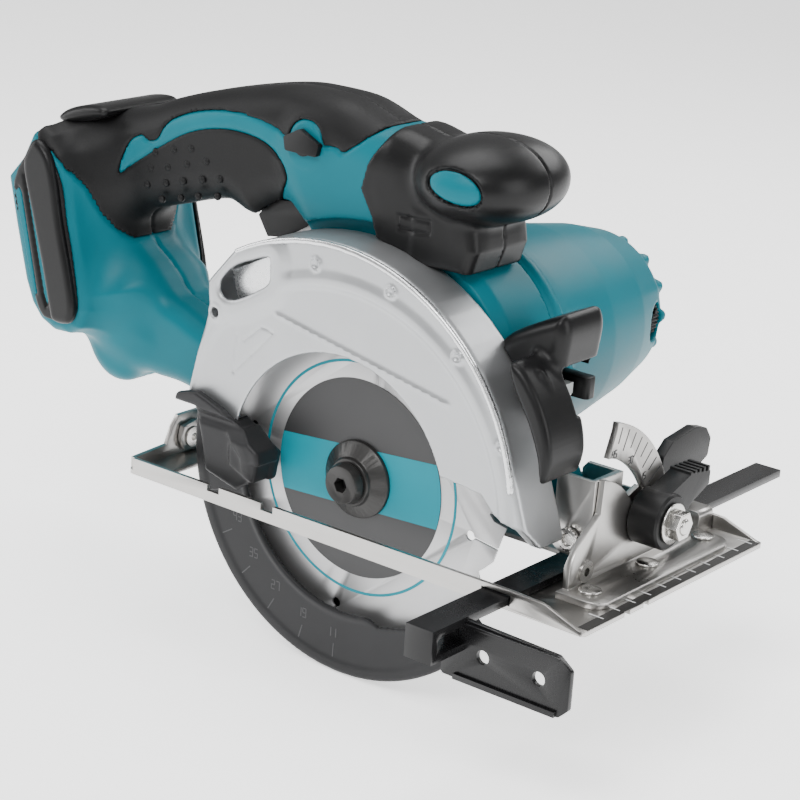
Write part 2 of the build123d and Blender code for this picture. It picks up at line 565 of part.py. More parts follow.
with BuildPart() as armature_core:
    drum(MOTOR, 24.5, 24, 64)
    for n in range(12):
        drum(polar(MOTOR, 22.5, 30 * n), 1.4, 23, 65, Mode.SUBTRACT)
    turned([(6, 17), (19, 18), (21, 24), (6, 24)], MOTOR)
    turned([(6, 64), (21, 64), (19, 71), (6, 72)], MOTOR)
    drum(MOTOR, 4.0, 16, 73, Mode.SUBTRACT)
finish(armature_core, "armature_core")

with BuildPart() as commutator:
    drum(MOTOR, 12.0, 84, 90)
    drum(MOTOR, 13.0, 76, 84)
    drum(MOTOR, 4.0, 75, 91, Mode.SUBTRACT)
finish(commutator, "commutator")

with BuildPart() as cooling_fan:
    drum(MOTOR, 34.0, 14.6, 16)
    for n in range(14):
        root, tip = polar(MOTOR, 14, 360 / 14 * n), polar(MOTOR, 33, 360 / 14 * n + 12)
        root_2, tip_2 = polar(MOTOR, 14, 360 / 14 * n + 5), polar(MOTOR, 33, 360 / 14 * n + 14)
        slab([root, tip, tip_2, root_2], 9.4, 14.8)
    drum(MOTOR, 8.0, 9.4, 15)
    drum(MOTOR, 4.0, 8, 17, Mode.SUBTRACT)
finish(cooling_fan, "cooling_fan")

with BuildPart() as bearings:
    bearing(SPIN, 6.0, 11.0, -22.5, -15.8)
    bearing(SPIN, 6.0, 9.0, -29.6, -24)
    bearing(MOTOR, 4.05, 8.0, 5.1, 8)
    bearing(MOTOR, 4.05, 8.0, 92.5, 96.5)
    bearing(COUNTER, 3.05, 5.0, -20, -16.1)
finish(bearings, "bearings")

# ---------------------------------------------------------------- lower guard
with BuildPart() as lower_guard:
    start, stop = 172, 324
    for near, far, inner, mode in ((LOWER_NEAR, LOWER_FAR, 0, Mode.ADD),
                                   (LOWER_NEAR + 1.8, LOWER_FAR - 1.8, 1.8, Mode.SUBTRACT)):
        with BuildSketch(side(far)):
            with BuildLine():
                CenterArc(SPIN, LOWER_R - inner, start, stop - start)
                Line(polar(SPIN, LOWER_R - inner, stop), SPIN)
                Line(SPIN, polar(SPIN, LOWER_R - inner, start))
            make_face()
        extrude(amount=far - near, mode=mode)
    drum(SPIN, 26.0, NOSE_Y + 0.4, LOWER_FAR)
    drum(SPIN, LOWER_IN_R, LOWER_NEAR - 1, LOWER_NEAR + 2.5, Mode.SUBTRACT)
    drum(SPIN, NOSE_R + 0.06, LOWER_FAR - 4, LOWER_FAR + 1, Mode.SUBTRACT)
    slab([(4, -21), (5, -31), (18, -36), (40, -30), (46, -20), (70, -30), (70, 30), (10, 10)],
         LOWER_NEAR - 1, LOWER_NEAR + 2, 0, Mode.SUBTRACT)
    # retracting lever: a web through the opening of the upper guard and a thumb ledge outside it
    slab([(-48, 14), (-36, 9), (-34, 20), (-44, 29), (-49, 22)], LEVER_NEAR, LOWER_NEAR)
    slab([(-62, 9), (-36, 9), (-34, 20), (-48, 26), (-61, 20)], LOWER_NEAR - 3, LOWER_NEAR + 1)
    slab([(-77, 27), (-77, 34), (-71, 35.5), (-50, 29), (-38, 20.5), (-37, 12), (-43, 12), (-45, 18), (-67, 24.5)],
         LEVER_NEAR, GUARD_NEAR - 0.5)
    slab([(-66, 25), (-62, 8), (-45, 4), (-37, 10), (-40, 22)], GUARD_NEAR - 3.2, GUARD_NEAR - 0.5)
    # face of the lever hollowed to pass inside the lip of the base when the saw is tilted
    band([(-64, 3), (-64, 43.4), (-50.5, 29.9), (-50.5, 28.2), (-52.5, 25.6), (-54.5, 22.5), (-56.2, 18),
          (-57.5, 12), (-57.9, 3)], -90, -30, 0, Mode.SUBTRACT)
finish(lower_guard, "lower_guard")

with BuildPart() as guard_ring:
    turned([(16.5, NOSE_Y - 0.5), (22.5, NOSE_Y - 0.5), (22.5, NOSE_Y), (16.5, NOSE_Y)], SPIN)
finish(guard_ring, "guard_ring")

# ================================================================ handle
TOP_LINE = [(-165, 127), (-137, 132), (-111, 141), (-93, 146), (-71, 152), (-53, 155), (-40, 156), (-19, 152),
            (-7, 147), (3, 145.5), (13, 145.5), (22, 138)]
GRIP_FRONT = [(34, 140), (36, 118), (44, 112), (44, 103), (38, 101)]
GEAR_TOP = [(26, 107.9), (14, 109), (2, 107.9), (-14, 100)]
GRIP_UNDER = [(-38, 98), (-38, 104), (-42, 111), (-60, 111), (-67, 102), (-72, 104), (-81, 107), (-93, 103),
              (-115, 96), (-122, 94), (-124, 86), (-120, 72), (-112, 63), (-98, 59), (-84.2, 50)]
ARM_LOW = [(-84.2, 19), (-109, 22), (-123, 27), (-135, 21), (-143, 17), (-149, 18), (-155, 22), (-161, 28),
           (-157, 45), (-161, 52), (-172, 101), (-169, 110)]
TRIGGER_GAP = [(-70, 92), (-70, 102), (-69, 111), (-62, 118), (-50, 116), (-36.5, 114.5), (-36.5, 92)]
BAY_DEPTH, RAIL_LIP, RAIL_WALL = 9.0, 4.0, 7.0
STRIP_T = 3.0             # thickness of the soft cover along the top of the handle
BUTTON = (-36.0, 137.5)   # lock-off button
MOUNT = [(-177, 101), (-166, 59), (-162, 50), (-157, 45), (-148, 42), (-139, 41), (-123, 45), (-116, 60),
         (-116, 80), (-120, 91), (-128, 99), (-133, 109), (-141, 119), (-150, 128), (-163, 122), (-169, 112)]


TRIGGER_PIN = (-41.0, 110.0)
HOUSING_SCREWS = [(-108, 117), (-84, 124), (-8, 130), (-100, 38), (-144, 25)]
SCREW_HEAD = 0.0


def bay(high, low, outer, inner):
    """Outline in the battery bay, measured down the tilted rear face and inwards from it."""
    slope = math.atan2(MOUNT[1][1] - MOUNT[0][1], MOUNT[1][0] - MOUNT[0][0])
    along, inward = (math.cos(slope), math.sin(slope)), (-math.sin(slope), math.cos(slope))
    corners = ((high, outer), (low, outer), (low, inner), (high, inner))
    return [(MOUNT[0][0] + along[0] * down + inward[0] * deep, MOUNT[0][1] + along[1] * down + inward[1] * deep)
            for down, deep in corners]


def strip(grow):
    """Outline of the soft cover along the top of the handle."""
    top = [(x, z + grow) for x, z in TOP_LINE[1:9]]
    under = [(x, z - STRIP_T - grow) for x, z in reversed(TOP_LINE[1:9])]
    return top + under


def knob(reduced, mode=Mode.ADD):
    """Oval body of the front grip, reduced all round."""
    ball = scale(Sphere(1, mode=Mode.PRIVATE), by=tuple(half - reduced for half in KNOB_HALF), mode=Mode.PRIVATE)
    return add(Location((KNOB_X, SEAM_Y, KNOB_Z)) * ball, mode=mode)


def handle_half(near, far, wall_side):
    """One half shell of the handle. wall_side is -1 for the near half and +1 for the far half."""
    outline = TOP_LINE + GRIP_FRONT + GEAR_TOP + GRIP_UNDER + ARM_LOW
    slab(outline, near, far)
    hollow = (near + 2.6, far) if wall_side < 0 else (near, far - 2.6)
    slab([(-128, 128), (-111, 136), (-71, 147), (-40, 151), (-19, 147), (-7, 142), (18, 142), (18, 112),
          (-14, 112), (-34, 100), (-35, 114), (-62, 115), (-72, 110.5), (-93, 109), (-122, 101)],
         hollow[0], hollow[1], 0, Mode.SUBTRACT)
    slab([(-150, 30), (-128, 33), (-87, 26), (-87, 47), (-100, 54), (-113, 58), (-124, 68), (-140, 60)],
         hollow[0], hollow[1], 0, Mode.SUBTRACT)
    slab(TRIGGER_GAP, -22.5, -3.5, 0, Mode.SUBTRACT)
    slab(strip(0.3), near - 1 if wall_side < 0 else near, far if wall_side < 0 else far + 1, 0, Mode.SUBTRACT)
    drum(BUTTON, 5.3, near - 1, far + 1, Mode.SUBTRACT)
    knob(0, Mode.SUBTRACT)
    drum(TRIGGER_PIN, 1.56, -24.3, -1.7, Mode.SUBTRACT)
    for spot in HOUSING_SCREWS:
        drum(spot, 4.6, hollow[0], hollow[1])
        drum(spot, 2.0, SEAM_Y - 10, SCREW_HEAD, Mode.SUBTRACT)
        if wall_side > 0:
            drum(spot, 3.6, SCREW_HEAD, SCREW_HEAD + 3, Mode.SUBTRACT)
            drum(spot, 3.9, SCREW_HEAD + 2.2, far + 1, Mode.SUBTRACT)


def mount_half(near, far, rail_side):
    """Half of the battery mount with its slide channel, open at the rear and at the bottom."""
    slab(MOUNT, near, far)
    edge, face = SEAM_Y + rail_side * (MOUNT_HALF + 1), SEAM_Y + rail_side * (HANDLE_HALF + 0.1)
    prism([(-137, edge), (-100, edge), (-100, face), (-115, face)], 0, 140, Mode.SUBTRACT)
    inner = (near + RAIL_WALL, far) if rail_side < 0 else (near, far - RAIL_WALL)
    slab(bay(2, 80, -9, BAY_DEPTH), inner[0], inner[1], 0, Mode.SUBTRACT)
    groove = (near + 4, near + RAIL_WALL + 1) if rail_side < 0 else (far - RAIL_WALL - 1, far - 4)
    slab(bay(2, 80, RAIL_LIP, BAY_DEPTH), groove[0], groove[1], 0, Mode.SUBTRACT)


PLUG_OUTLINE = [polar((-17, 107), 5.2 if n % 2 else 4.8, 9 * n) for n in range(40)]
with BuildPart() as handle_half_right:
    handle_half(SEAM_Y - HANDLE_HALF, SEAM_Y, -1)
    mount_half(SEAM_Y - MOUNT_HALF, SEAM_Y, -1)
    behind_guard = scroll(0.8, 30, 124) + [(-68, 84), (-68, 70), (-82, 30), (-82, 0), (88, 0)]
    slab(behind_guard, -31, -24.6, 0, Mode.SUBTRACT)
    slab(PLUG_OUTLINE, -31, -19, 0, Mode.SUBTRACT)
finish(handle_half_right, "handle_half_right")

with BuildPart() as handle_half_left:
    handle_half(SEAM_Y, SEAM_Y + HANDLE_HALF, 1)
    mount_half(SEAM_Y, SEAM_Y + MOUNT_HALF, 1)
finish(handle_half_left, "handle_half_left")

with BuildPart() as top_grip_cover:
    slab(strip(0), SEAM_Y - HANDLE_HALF, SEAM_Y + HANDLE_HALF)
finish(top_grip_cover, "top_grip_cover")

PANEL = [(-126, 112), (-118, 117), (-100, 129), (-86, 133), (-61, 134.5), (-50, 129), (-47, 124), (-52, 113),
         (-60, 111.5), (-67, 103), (-72, 105), (-81, 108), (-93, 104), (-115, 97), (-121, 96)]
with BuildPart() as side_grips:
    for near in (SEAM_Y - HANDLE_HALF - 1, SEAM_Y + HANDLE_HALF):
        slab(PANEL, near, near + 1, corner=1)
finish(side_grips, "side_grips")

KNOB = (KNOB_X, KNOB_Z)
INLAY = (KNOB_X + 4, KNOB_Z + 2)
INLAY_HALF = (8.6, 4.4)
with BuildPart() as front_grip_cover:
    knob(0.05)
    knob(KNOB_WALL, Mode.SUBTRACT)
    with BuildSketch(side(SEAM_Y - 12)):
        with Locations(INLAY):
            Ellipse(INLAY_HALF[0] + 0.1, INLAY_HALF[1] + 0.1)
    extrude(amount=25, mode=Mode.SUBTRACT)
finish(front_grip_cover, "front_grip_cover")

with BuildPart() as front_grip_core:
    drum(KNOB, 11.6, SEAM_Y - 11, SEAM_Y + 11)
    drum(KNOB, 9.2, SEAM_Y - 12, SEAM_Y + 12, Mode.SUBTRACT)
    drum(KNOB, 4.0, SEAM_Y - 26, SEAM_Y + 26)
    slab([(KNOB_X - 10, KNOB_Z - 1.5), (KNOB_X + 10, KNOB_Z - 1.5), (KNOB_X + 10, KNOB_Z + 1.5),
          (KNOB_X - 10, KNOB_Z + 1.5)], SEAM_Y - 11, SEAM_Y + 11)
finish(front_grip_core, "front_grip_core")

with BuildPart() as grip_inlay:
    with BuildSketch(side(SEAM_Y - 18)):
        with Locations(INLAY):
            Ellipse(INLAY_HALF[0], INLAY_HALF[1])
    extrude(amount=20)
    knob(0.05, Mode.INTERSECT)
    knob(KNOB_WALL - 0.2, Mode.SUBTRACT)
finish(grip_inlay, "grip_inlay")

with BuildPart() as mount_bumpers:
    pad = [(-171, 96), (-161, 57), (-155, 49), (-141, 48), (-138.5, 56), (-139.5, 88), (-147, 108), (-156, 116),
           (-163, 113)]
    for near in (SEAM_Y - MOUNT_HALF - 1.2, SEAM_Y + MOUNT_HALF):
        slab(pad, near, near + 1.2, corner=1.5)
finish(mount_bumpers, "mount_bumpers")

with BuildPart() as battery_terminal:
    slab(bay(8, 40, 3.6, BAY_DEPTH), -27, 1)
    for blade in (-23, -13.4, -3.8):
        slab(bay(10, 38, 0.6, 3.6), blade, blade + 0.8)
finish(battery_terminal, "battery_terminal")

with BuildPart() as switch_body:
    block((-74, -44), (-23, -3), (118.5, 134))
    fillet(switch_body.edges().filter_by(Axis.Y), 2)
finish(switch_body, "switch_body")

with BuildPart() as trigger:
    slab([(-66, 103), (-61, 95.5), (-52, 97), (-42, 103), (-38.5, 106), (-38.5, 111), (-43, 112), (-60, 110.5)],
         -21.5, -4.5, corner=0.6)
    drum(TRIGGER_PIN, 1.5, -24, -2)
finish(trigger, "trigger")

with BuildPart() as lock_off_button:
    drum(BUTTON, 4.6, -33.5, 7.5)
    slab([(-44.5, 139), (-37, 143), (-27.5, 138.5), (-28.5, 134), (-43.5, 134)], -34.5, -31.9, corner=1)
    slab([(-44.5, 139), (-37, 143), (-27.5, 138.5), (-28.5, 134), (-43.5, 134)], 7.2, 10.5, corner=1)
finish(lock_off_button, "lock_off_button")

# ================================================================ front cover, lamp, plug and latch
LENS = [(70, 55), (77.4, 66), (77.4, 70), (74, 70), (67.5, 57)]
with BuildPart() as front_cover:
    hood = [(56, 78), (57, 85), (68, 92), (80, 96.5), (82, 85), (80, 72), (74, 58), (69, 50), (60, 50)]
    slab(hood, -24.6, -3)
    slab([(59, 79), (60, 84), (68, 89), (77, 92.5), (79, 85), (77, 72), (71, 60), (62, 60)], -22.4, -5, 0,
         Mode.SUBTRACT)
    slab([(83, 42), (90.5, 42), (92, 58), (84, 76), (76, 80), (76, 60), (83, 52)], -24.6, -21)
    shield = [(88.2, 42), (91.5, 42), (93, 52), (90, 64), (84, 74), (76, 80), (75, 76.5), (82, 65.5), (88, 50)]
    slab(shield, GUARD_NEAR + 1.5, -24)
    drum((68, 74), 4.2, -26, -21, Mode.SUBTRACT)
    slab([(60, 62), (85, 62), (85, 74), (60, 74)], -12, -2, 0, Mode.SUBTRACT)
    drum(MOTOR, 44.2, -26, -2, Mode.SUBTRACT)
    slab(LENS, -20, -13, 0, Mode.SUBTRACT)
finish(front_cover, "front_cover")

with BuildPart() as lamp_lens:
    slab(LENS, -20, -13)
finish(lamp_lens, "lamp_lens")

with BuildPart() as shaft_lock:
    block((69, 82.6), (-11.6, -5.6), (64, 72))
    fillet(shaft_lock.edges().filter_by(Axis.Z).group_by(Axis.X)[-1], 2)
finish(shaft_lock, "shaft_lock")

with BuildPart() as knurled_plug:
    slab(PLUG_OUTLINE, -24.3, -19)
finish(knurled_plug, "knurled_plug")

# ================================================================ fasteners and depth lock
with BuildPart() as housing_screws:
    for spot in HOUSING_SCREWS:
        drum(spot, 2.0, SEAM_Y - 10, SCREW_HEAD)
        drum(spot, 3.6, SCREW_HEAD, SCREW_HEAD + 2.2)
        drum(spot, 1.4, SCREW_HEAD + 1, SCREW_HEAD + 3, Mode.SUBTRACT)
finish(housing_screws, "housing_screws")

with BuildPart() as guard_screws:
    for spot in GUARD_SCREWS:
        drum(spot, 2.0, GUARD_FAR - 1.5, -17)
        drum(spot, 3.8, GUARD_FAR - 2, GUARD_FAR - 0.7)
        drum(spot, 1.4, GUARD_FAR - 3, GUARD_FAR - 1.2, Mode.SUBTRACT)
finish(guard_screws, "guard_screws")

with BuildPart() as depth_bolt:
    drum(DEPTH_BOLT, 3.0, -12, 17.5)
finish(depth_bolt, "depth_bolt")

with BuildPart() as depth_lock_lever:
    drum(DEPTH_BOLT, 8.0, GUIDE_Y + 2.3, 15.5)
    slab([(DEPTH_BOLT[0] - 6, DEPTH_BOLT[1] - 4), (DEPTH_BOLT[0] - 7, DEPTH_BOLT[1] + 5),
          (DEPTH_BOLT[0] - 34, DEPTH_BOLT[1] + 19), (DEPTH_BOLT[0] - 39, DEPTH_BOLT[1] + 14),
          (DEPTH_BOLT[0] - 34, DEPTH_BOLT[1] + 8)], 10, 15.5, corner=1.5)
    drum(DEPTH_BOLT, 3.06, GUIDE_Y, 18, Mode.SUBTRACT)
finish(depth_lock_lever, "depth_lock_lever")
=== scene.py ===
import json
import math
import bmesh
import bpy
import numpy as np
from mathutils import Matrix, Vector

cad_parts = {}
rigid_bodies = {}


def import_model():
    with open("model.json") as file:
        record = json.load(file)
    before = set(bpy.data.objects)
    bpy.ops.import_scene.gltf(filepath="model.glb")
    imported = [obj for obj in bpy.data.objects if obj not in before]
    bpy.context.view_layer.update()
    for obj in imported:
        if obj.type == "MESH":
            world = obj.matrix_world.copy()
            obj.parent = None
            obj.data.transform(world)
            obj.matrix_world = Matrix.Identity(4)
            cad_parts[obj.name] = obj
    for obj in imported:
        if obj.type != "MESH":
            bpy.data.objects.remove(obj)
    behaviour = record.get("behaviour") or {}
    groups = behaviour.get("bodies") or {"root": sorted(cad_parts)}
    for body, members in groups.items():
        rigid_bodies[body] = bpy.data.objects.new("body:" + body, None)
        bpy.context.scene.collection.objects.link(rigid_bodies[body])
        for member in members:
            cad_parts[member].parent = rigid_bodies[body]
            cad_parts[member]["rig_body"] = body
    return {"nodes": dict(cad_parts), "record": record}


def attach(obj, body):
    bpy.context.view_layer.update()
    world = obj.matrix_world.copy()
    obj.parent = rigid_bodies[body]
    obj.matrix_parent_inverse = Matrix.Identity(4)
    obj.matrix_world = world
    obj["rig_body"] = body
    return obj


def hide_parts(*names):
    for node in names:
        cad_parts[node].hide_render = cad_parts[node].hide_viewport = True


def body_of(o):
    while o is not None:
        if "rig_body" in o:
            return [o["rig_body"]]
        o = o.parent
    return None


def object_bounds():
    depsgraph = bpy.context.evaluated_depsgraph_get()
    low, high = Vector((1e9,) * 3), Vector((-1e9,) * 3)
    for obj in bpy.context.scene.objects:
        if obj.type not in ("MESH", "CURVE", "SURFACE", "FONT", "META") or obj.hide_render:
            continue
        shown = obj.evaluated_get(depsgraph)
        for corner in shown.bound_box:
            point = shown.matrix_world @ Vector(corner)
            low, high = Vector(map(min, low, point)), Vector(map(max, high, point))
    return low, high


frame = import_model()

cad_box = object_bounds()

# Shapes are worked out in millimetres in the part's own frame and written as metres.
MM = 0.001
SEAM = -13.0                     # plane between the handle halves
SPIN = (0.0, 17.0)               # blade axis, in X and Z
MOTOR = (13.99, 63.96)           # motor axis
DEPTH_PIN = (88.0, 16.0)         # depth axis
BEVEL = (-28.0, 8.5)             # bevel axis, in Y and Z
KNOB = (36.0, 136.0)             # middle of the front grip
NOZZLE = (-61.4, 70.5)           # threaded insert of the upper guard
SHARP = 35                       # degrees between faces above which an edge is broken
INK = 0.12                       # how thick a printed stroke stands across its face


# ---------------------------------------------------------------- distance fields
class Grid:
    """Sample points of a box, in millimetres."""

    def __init__(self, low, high, cell):
        self.cell = cell
        self.low = [v - 2.5 * cell for v in low]
        shapes = ((-1, 1, 1), (1, -1, 1), (1, 1, -1))
        axes = []
        for i in range(3):
            count = int(math.ceil((high[i] + 2.5 * cell - self.low[i]) / cell)) + 1
            axes.append((self.low[i] + cell * np.arange(count)).astype(np.float32).reshape(shapes[i]))
        self.x, self.y, self.z = axes


def smooth(points, steps=6):
    """Closed Catmull-Rom curve through the points."""
    pts = [np.array(p, float) for p in points]
    n = len(pts)
    result = []
    for i in range(n):
        a, b, c, d = (pts[(i + k) % n] for k in (-1, 0, 1, 2))
        for s in range(steps):
            t = s / steps
            result.append(0.5 * (2 * b + (c - a) * t + (2 * a - 5 * b + 4 * c - d) * t * t
                                 + (3 * b - a - 3 * c + d) * t ** 3))
    return [tuple(p) for p in result]


def distance_2d(u, v, outline):
    """Signed distance to a closed outline, negative inside, for arrays u and v of one shape."""
    shape = np.broadcast(u, v).shape
    p = np.stack([np.broadcast_to(u, shape).ravel(), np.broadcast_to(v, shape).ravel()], 1).astype(np.float32)
    best = np.full(len(p), 1e9, np.float32)
    inside = np.zeros(len(p), bool)
    pts = np.array(outline, np.float32)
    for a, b in zip(pts, np.roll(pts, -1, 0)):
        edge = b - a
        length = float(edge @ edge)
        if length < 1e-10:
            continue
        t = np.clip(((p - a) @ edge) / length, 0, 1)
        gap = p - a - t[:, None] * edge
        best = np.minimum(best, (gap * gap).sum(1))
        crosses = (a[1] > p[:, 1]) != (b[1] > p[:, 1])
        if a[1] != b[1]:
            inside ^= crosses & (p[:, 0] < (b[0] - a[0]) * (p[:, 1] - a[1]) / (b[1] - a[1]) + a[0])
    return (np.sqrt(best) * np.where(inside, -1, 1)).reshape(shape).astype(np.float32)


def plan(g, outline):
    """Distance to an outline drawn in X and Z."""
    return distance_2d(g.x, g.z, outline)


def both(a, b, edge):
    """Intersection of two distances, with its edge rounded."""
    p, q = a + edge, b + edge
    return np.minimum(np.maximum(p, q), 0) + np.sqrt(np.maximum(p, 0) ** 2 + np.maximum(q, 0) ** 2) - edge


def slab(g, outline, near, far, edge=0.0):
    """Solid between two Y values, with its edges rounded, from an outline drawn in X and Z."""
    middle, half = (near + far) / 2, (far - near) / 2
    return both(plan(g, outline), np.abs(g.y - middle) - half, edge)


def join(a, b, blend):
    """a and b together, with the corner between them filled over a width."""
    h = np.clip(0.5 + 0.5 * (b - a) / blend, 0, 1)
    return b * (1 - h) + a * h - blend * h * (1 - h)


def cut(a, b, blend=0.0):
    """a without b, and the corner rounded where a blend is given."""
    return -join(-a, b, blend) if blend else np.maximum(a, -b)


def away(g, centre):
    """Distance from a line along Y."""
    return np.sqrt((g.x - centre[0]) ** 2 + (g.z - centre[1]) ** 2)


def turned(g, centre, profile):
    """Solid turned about a line along Y: profile is a closed outline of (radius, y)."""
    radius = away(g, centre)
    step = g.cell / 2
    rows = (np.arange(int(radius.max() / step) + 3) * step).astype(np.float32)
    mirrored = list(profile) + [(-r, y) for r, y in reversed(profile)]
    table = distance_2d(rows[:, None], g.y.ravel()[None, :], mirrored)
    place = radius[:, 0, :] / step
    index = place.astype(int)
    share = (place - index)[..., None]
    return (table[index] * (1 - share) + table[index + 1] * share).transpose(0, 2, 1)


def capsule(g, a, b, radius):
    """Round-ended bar from a to b."""
    axis = np.array(b, np.float32) - np.array(a, np.float32)
    dx, dy, dz = g.x - a[0], g.y - a[1], g.z - a[2]
    t = np.clip((dx * axis[0] + dy * axis[1] + dz * axis[2]) / float(axis @ axis), 0, 1)
    return np.sqrt((dx - t * axis[0]) ** 2 + (dy - t * axis[1]) ** 2 + (dz - t * axis[2]) ** 2) - radius


def skin(name, g, field):
    """Closed mesh of the surface where the field is zero (surface nets)."""
    inside = field < 0
    n = [s - 1 for s in field.shape]
    corner = {}
    total = np.zeros(n, np.int8)
    for i in (0, 1):
        for j in (0, 1):
            for k in (0, 1):
                window = (slice(i, n[0] + i), slice(j, n[1] + j), slice(k, n[2] + k))
                corner[i, j, k] = window
                total += inside[window]
    active = (total > 0) & (total < 8)
    where = np.argwhere(active)
    ids = np.full(n, -1, np.int64)
    ids[active] = np.arange(len(where))
    values = {c: field[w][active] for c, w in corner.items()}
    place = np.zeros((len(where), 3))
    hits = np.zeros(len(where))
    for a in corner:
        for axis in range(3):
            if a[axis]:
                continue
            b = tuple(1 if i == axis else a[i] for i in range(3))
            va, vb = values[a], values[b]
            crossing = (va < 0) != (vb < 0)
            t = np.where(crossing, va / np.where(crossing, va - vb, 1), 0)
            point = np.array(a, float)[None, :] + t[:, None] * (np.array(b) - np.array(a))[None, :]
            place[crossing] += point[crossing]
            hits[crossing] += 1
    verts = (np.array(g.low) + g.cell * (where + place / hits[:, None])) * MM
    faces = []
    for axis in range(3):
        u, v = (axis + 1) % 3, (axis + 2) % 3
        first = [slice(1, m) for m in n]
        first[axis] = slice(0, n[axis])
        second = list(first)
        second[axis] = slice(1, n[axis] + 1)
        start, end = inside[tuple(first)], inside[tuple(second)]
        at = np.argwhere(start != end)
        forward = start[tuple(at.T)]
        base = at + 1
        base[:, axis] -= 1
        corners = []
        for du, dv in ((1, 1), (0, 1), (0, 0), (1, 0)):
            q = base.copy()
            q[:, u] -= du
            q[:, v] -= dv
            corners.append(ids[tuple(q.T)])
        quads = np.stack(corners, 1)
        quads[~forward] = quads[~forward][:, ::-1]
        faces.append(quads)
    faces = np.concatenate(faces)
    mesh = bpy.data.meshes.new(name)
    mesh.vertices.add(len(verts))
    mesh.vertices.foreach_set("co", verts.ravel())
    mesh.loops.add(faces.size)
    mesh.loops.foreach_set("vertex_index", faces.ravel().astype(np.int32))
    mesh.polygons.add(len(faces))
    mesh.polygons.foreach_set("loop_start", np.arange(0, faces.size, 4, dtype=np.int32))
    mesh.polygons.foreach_set("loop_total", np.full(len(faces), 4, np.int32))
    mesh.update(calc_edges=True)
    mesh.validate()
    mesh.polygons.foreach_set("use_smooth", np.ones(len(mesh.polygons), bool))
    piece = bpy.data.objects.new(name, mesh)
    bpy.context.collection.objects.link(piece)
    return piece


# ---------------------------------------------------------------- finishes
def finish(name, colour, rough, metal=0.0, grain=0.0, grain_scale=2000.0, wear=0.06, tint=0.12, coat=0.0,
           specular=0.5):
    """Procedural surface: mottled colour, uneven roughness and a fine grain, in mm of relief."""
    m = bpy.data.materials.new(name)
    m.use_nodes = True
    nodes, link = m.node_tree.nodes, m.node_tree.links.new
    shader = nodes["Principled BSDF"]
    shader.inputs["Metallic"].default_value = metal
    shader.inputs["Coat Weight"].default_value = coat
    shader.inputs["Coat Roughness"].default_value = 0.15
    shader.inputs["Specular IOR Level"].default_value = specular
    source = nodes.new("ShaderNodeTexCoord").outputs["Object"]
    broad = nodes.new("ShaderNodeTexNoise")
    broad.inputs["Scale"].default_value = 45
    broad.inputs["Detail"].default_value = 5
    link(source, broad.inputs["Vector"])
    shade = nodes.new("ShaderNodeValToRGB")
    shade.color_ramp.elements[0].position = 0.3
    shade.color_ramp.elements[1].position = 0.7
    shade.color_ramp.elements[0].color = [c * (1 - tint) for c in colour] + [1]
    shade.color_ramp.elements[1].color = [min(1, c * (1 + tint)) for c in colour] + [1]
    link(broad.outputs["Fac"], shade.inputs["Fac"])
    link(shade.outputs["Color"], shader.inputs["Base Color"])
    fine = nodes.new("ShaderNodeTexNoise")
    fine.inputs["Scale"].default_value = grain_scale
    fine.inputs["Detail"].default_value = 3
    link(source, fine.inputs["Vector"])
    uneven = nodes.new("ShaderNodeMapRange")
    uneven.inputs["From Min"].default_value = 0.3
    uneven.inputs["From Max"].default_value = 0.7
    uneven.inputs["To Min"].default_value = max(0.03, rough - wear)
    uneven.inputs["To Max"].default_value = rough + wear
    blend = nodes.new("ShaderNodeMath")
    blend.operation = "ADD"
    half = nodes.new("ShaderNodeMath")
    half.operation = "MULTIPLY"
    half.inputs[1].default_value = 0.5
    link(broad.outputs["Fac"], blend.inputs[0])
    link(fine.outputs["Fac"], blend.inputs[1])
    link(blend.outputs["Value"], half.inputs[0])
    link(half.outputs["Value"], uneven.inputs["Value"])
    link(uneven.outputs["Result"], shader.inputs["Roughness"])
    if grain:
        relief = nodes.new("ShaderNodeBump")
        relief.inputs["Strength"].default_value = 1.0
        relief.inputs["Distance"].default_value = grain * MM
        link(fine.outputs["Fac"], relief.inputs["Height"])
        link(relief.outputs["Normal"], shader.inputs["Normal"])
    return m


TEAL = (0.0, 0.12, 0.155)
teal = finish("teal_shell", TEAL, 0.40, grain=0.03, grain_scale=2600, wear=0.05, tint=0.05, specular=0.14)
teal_print = finish("teal_ink", (0.0, 0.22, 0.28), 0.45, grain=0.01, wear=0.06, tint=0.05, specular=0.2)
rubber = finish("soft_grip", (0.005, 0.005, 0.0053), 0.5, grain=0.05, grain_scale=1500, wear=0.07, tint=0.25,
                specular=0.2)
smooth_rubber = finish("smooth_grip", (0.0045, 0.0045, 0.0048), 0.36, grain=0.02, grain_scale=1800, wear=0.08,
                       tint=0.2, specular=0.22)
black_plastic = finish("moulded_black", (0.0055, 0.0055, 0.0058), 0.40, grain=0.04, grain_scale=2000,
                       wear=0.07, tint=0.2, specular=0.22)
panel_grey = finish("panel_grey", (0.035, 0.035, 0.037), 0.5, grain=0.04, grain_scale=2200, tint=0.15)
cast = finish("cast_silver", (0.44, 0.45, 0.46), 0.40, metal=0.85, grain=0.02, grain_scale=1200, wear=0.06,
              tint=0.05)
# lighter, glossier copy of the cast metal: painted highlight on the guard's rim band and on the dust pocket's
# floor
cast_highlight = finish("cast_painted_highlight", (0.72, 0.73, 0.74), 0.26, metal=0.9, grain=0.01, grain_scale=900,
                     wear=0.08, tint=0.05)
zinc = finish("zinc_plate", (0.46, 0.45, 0.435), 0.30, metal=1.0, grain=0.0015, grain_scale=700, wear=0.03,
              tint=0.04)
zinc_bright = finish("zinc_bright", (0.58, 0.57, 0.55), 0.22, metal=1.0, grain=0.003, grain_scale=1500,
                     wear=0.06, tint=0.08)
dark_steel = finish("black_oxide", (0.035, 0.034, 0.033), 0.36, metal=0.5, grain=0.02, grain_scale=1400,
                    wear=0.1, tint=0.25)
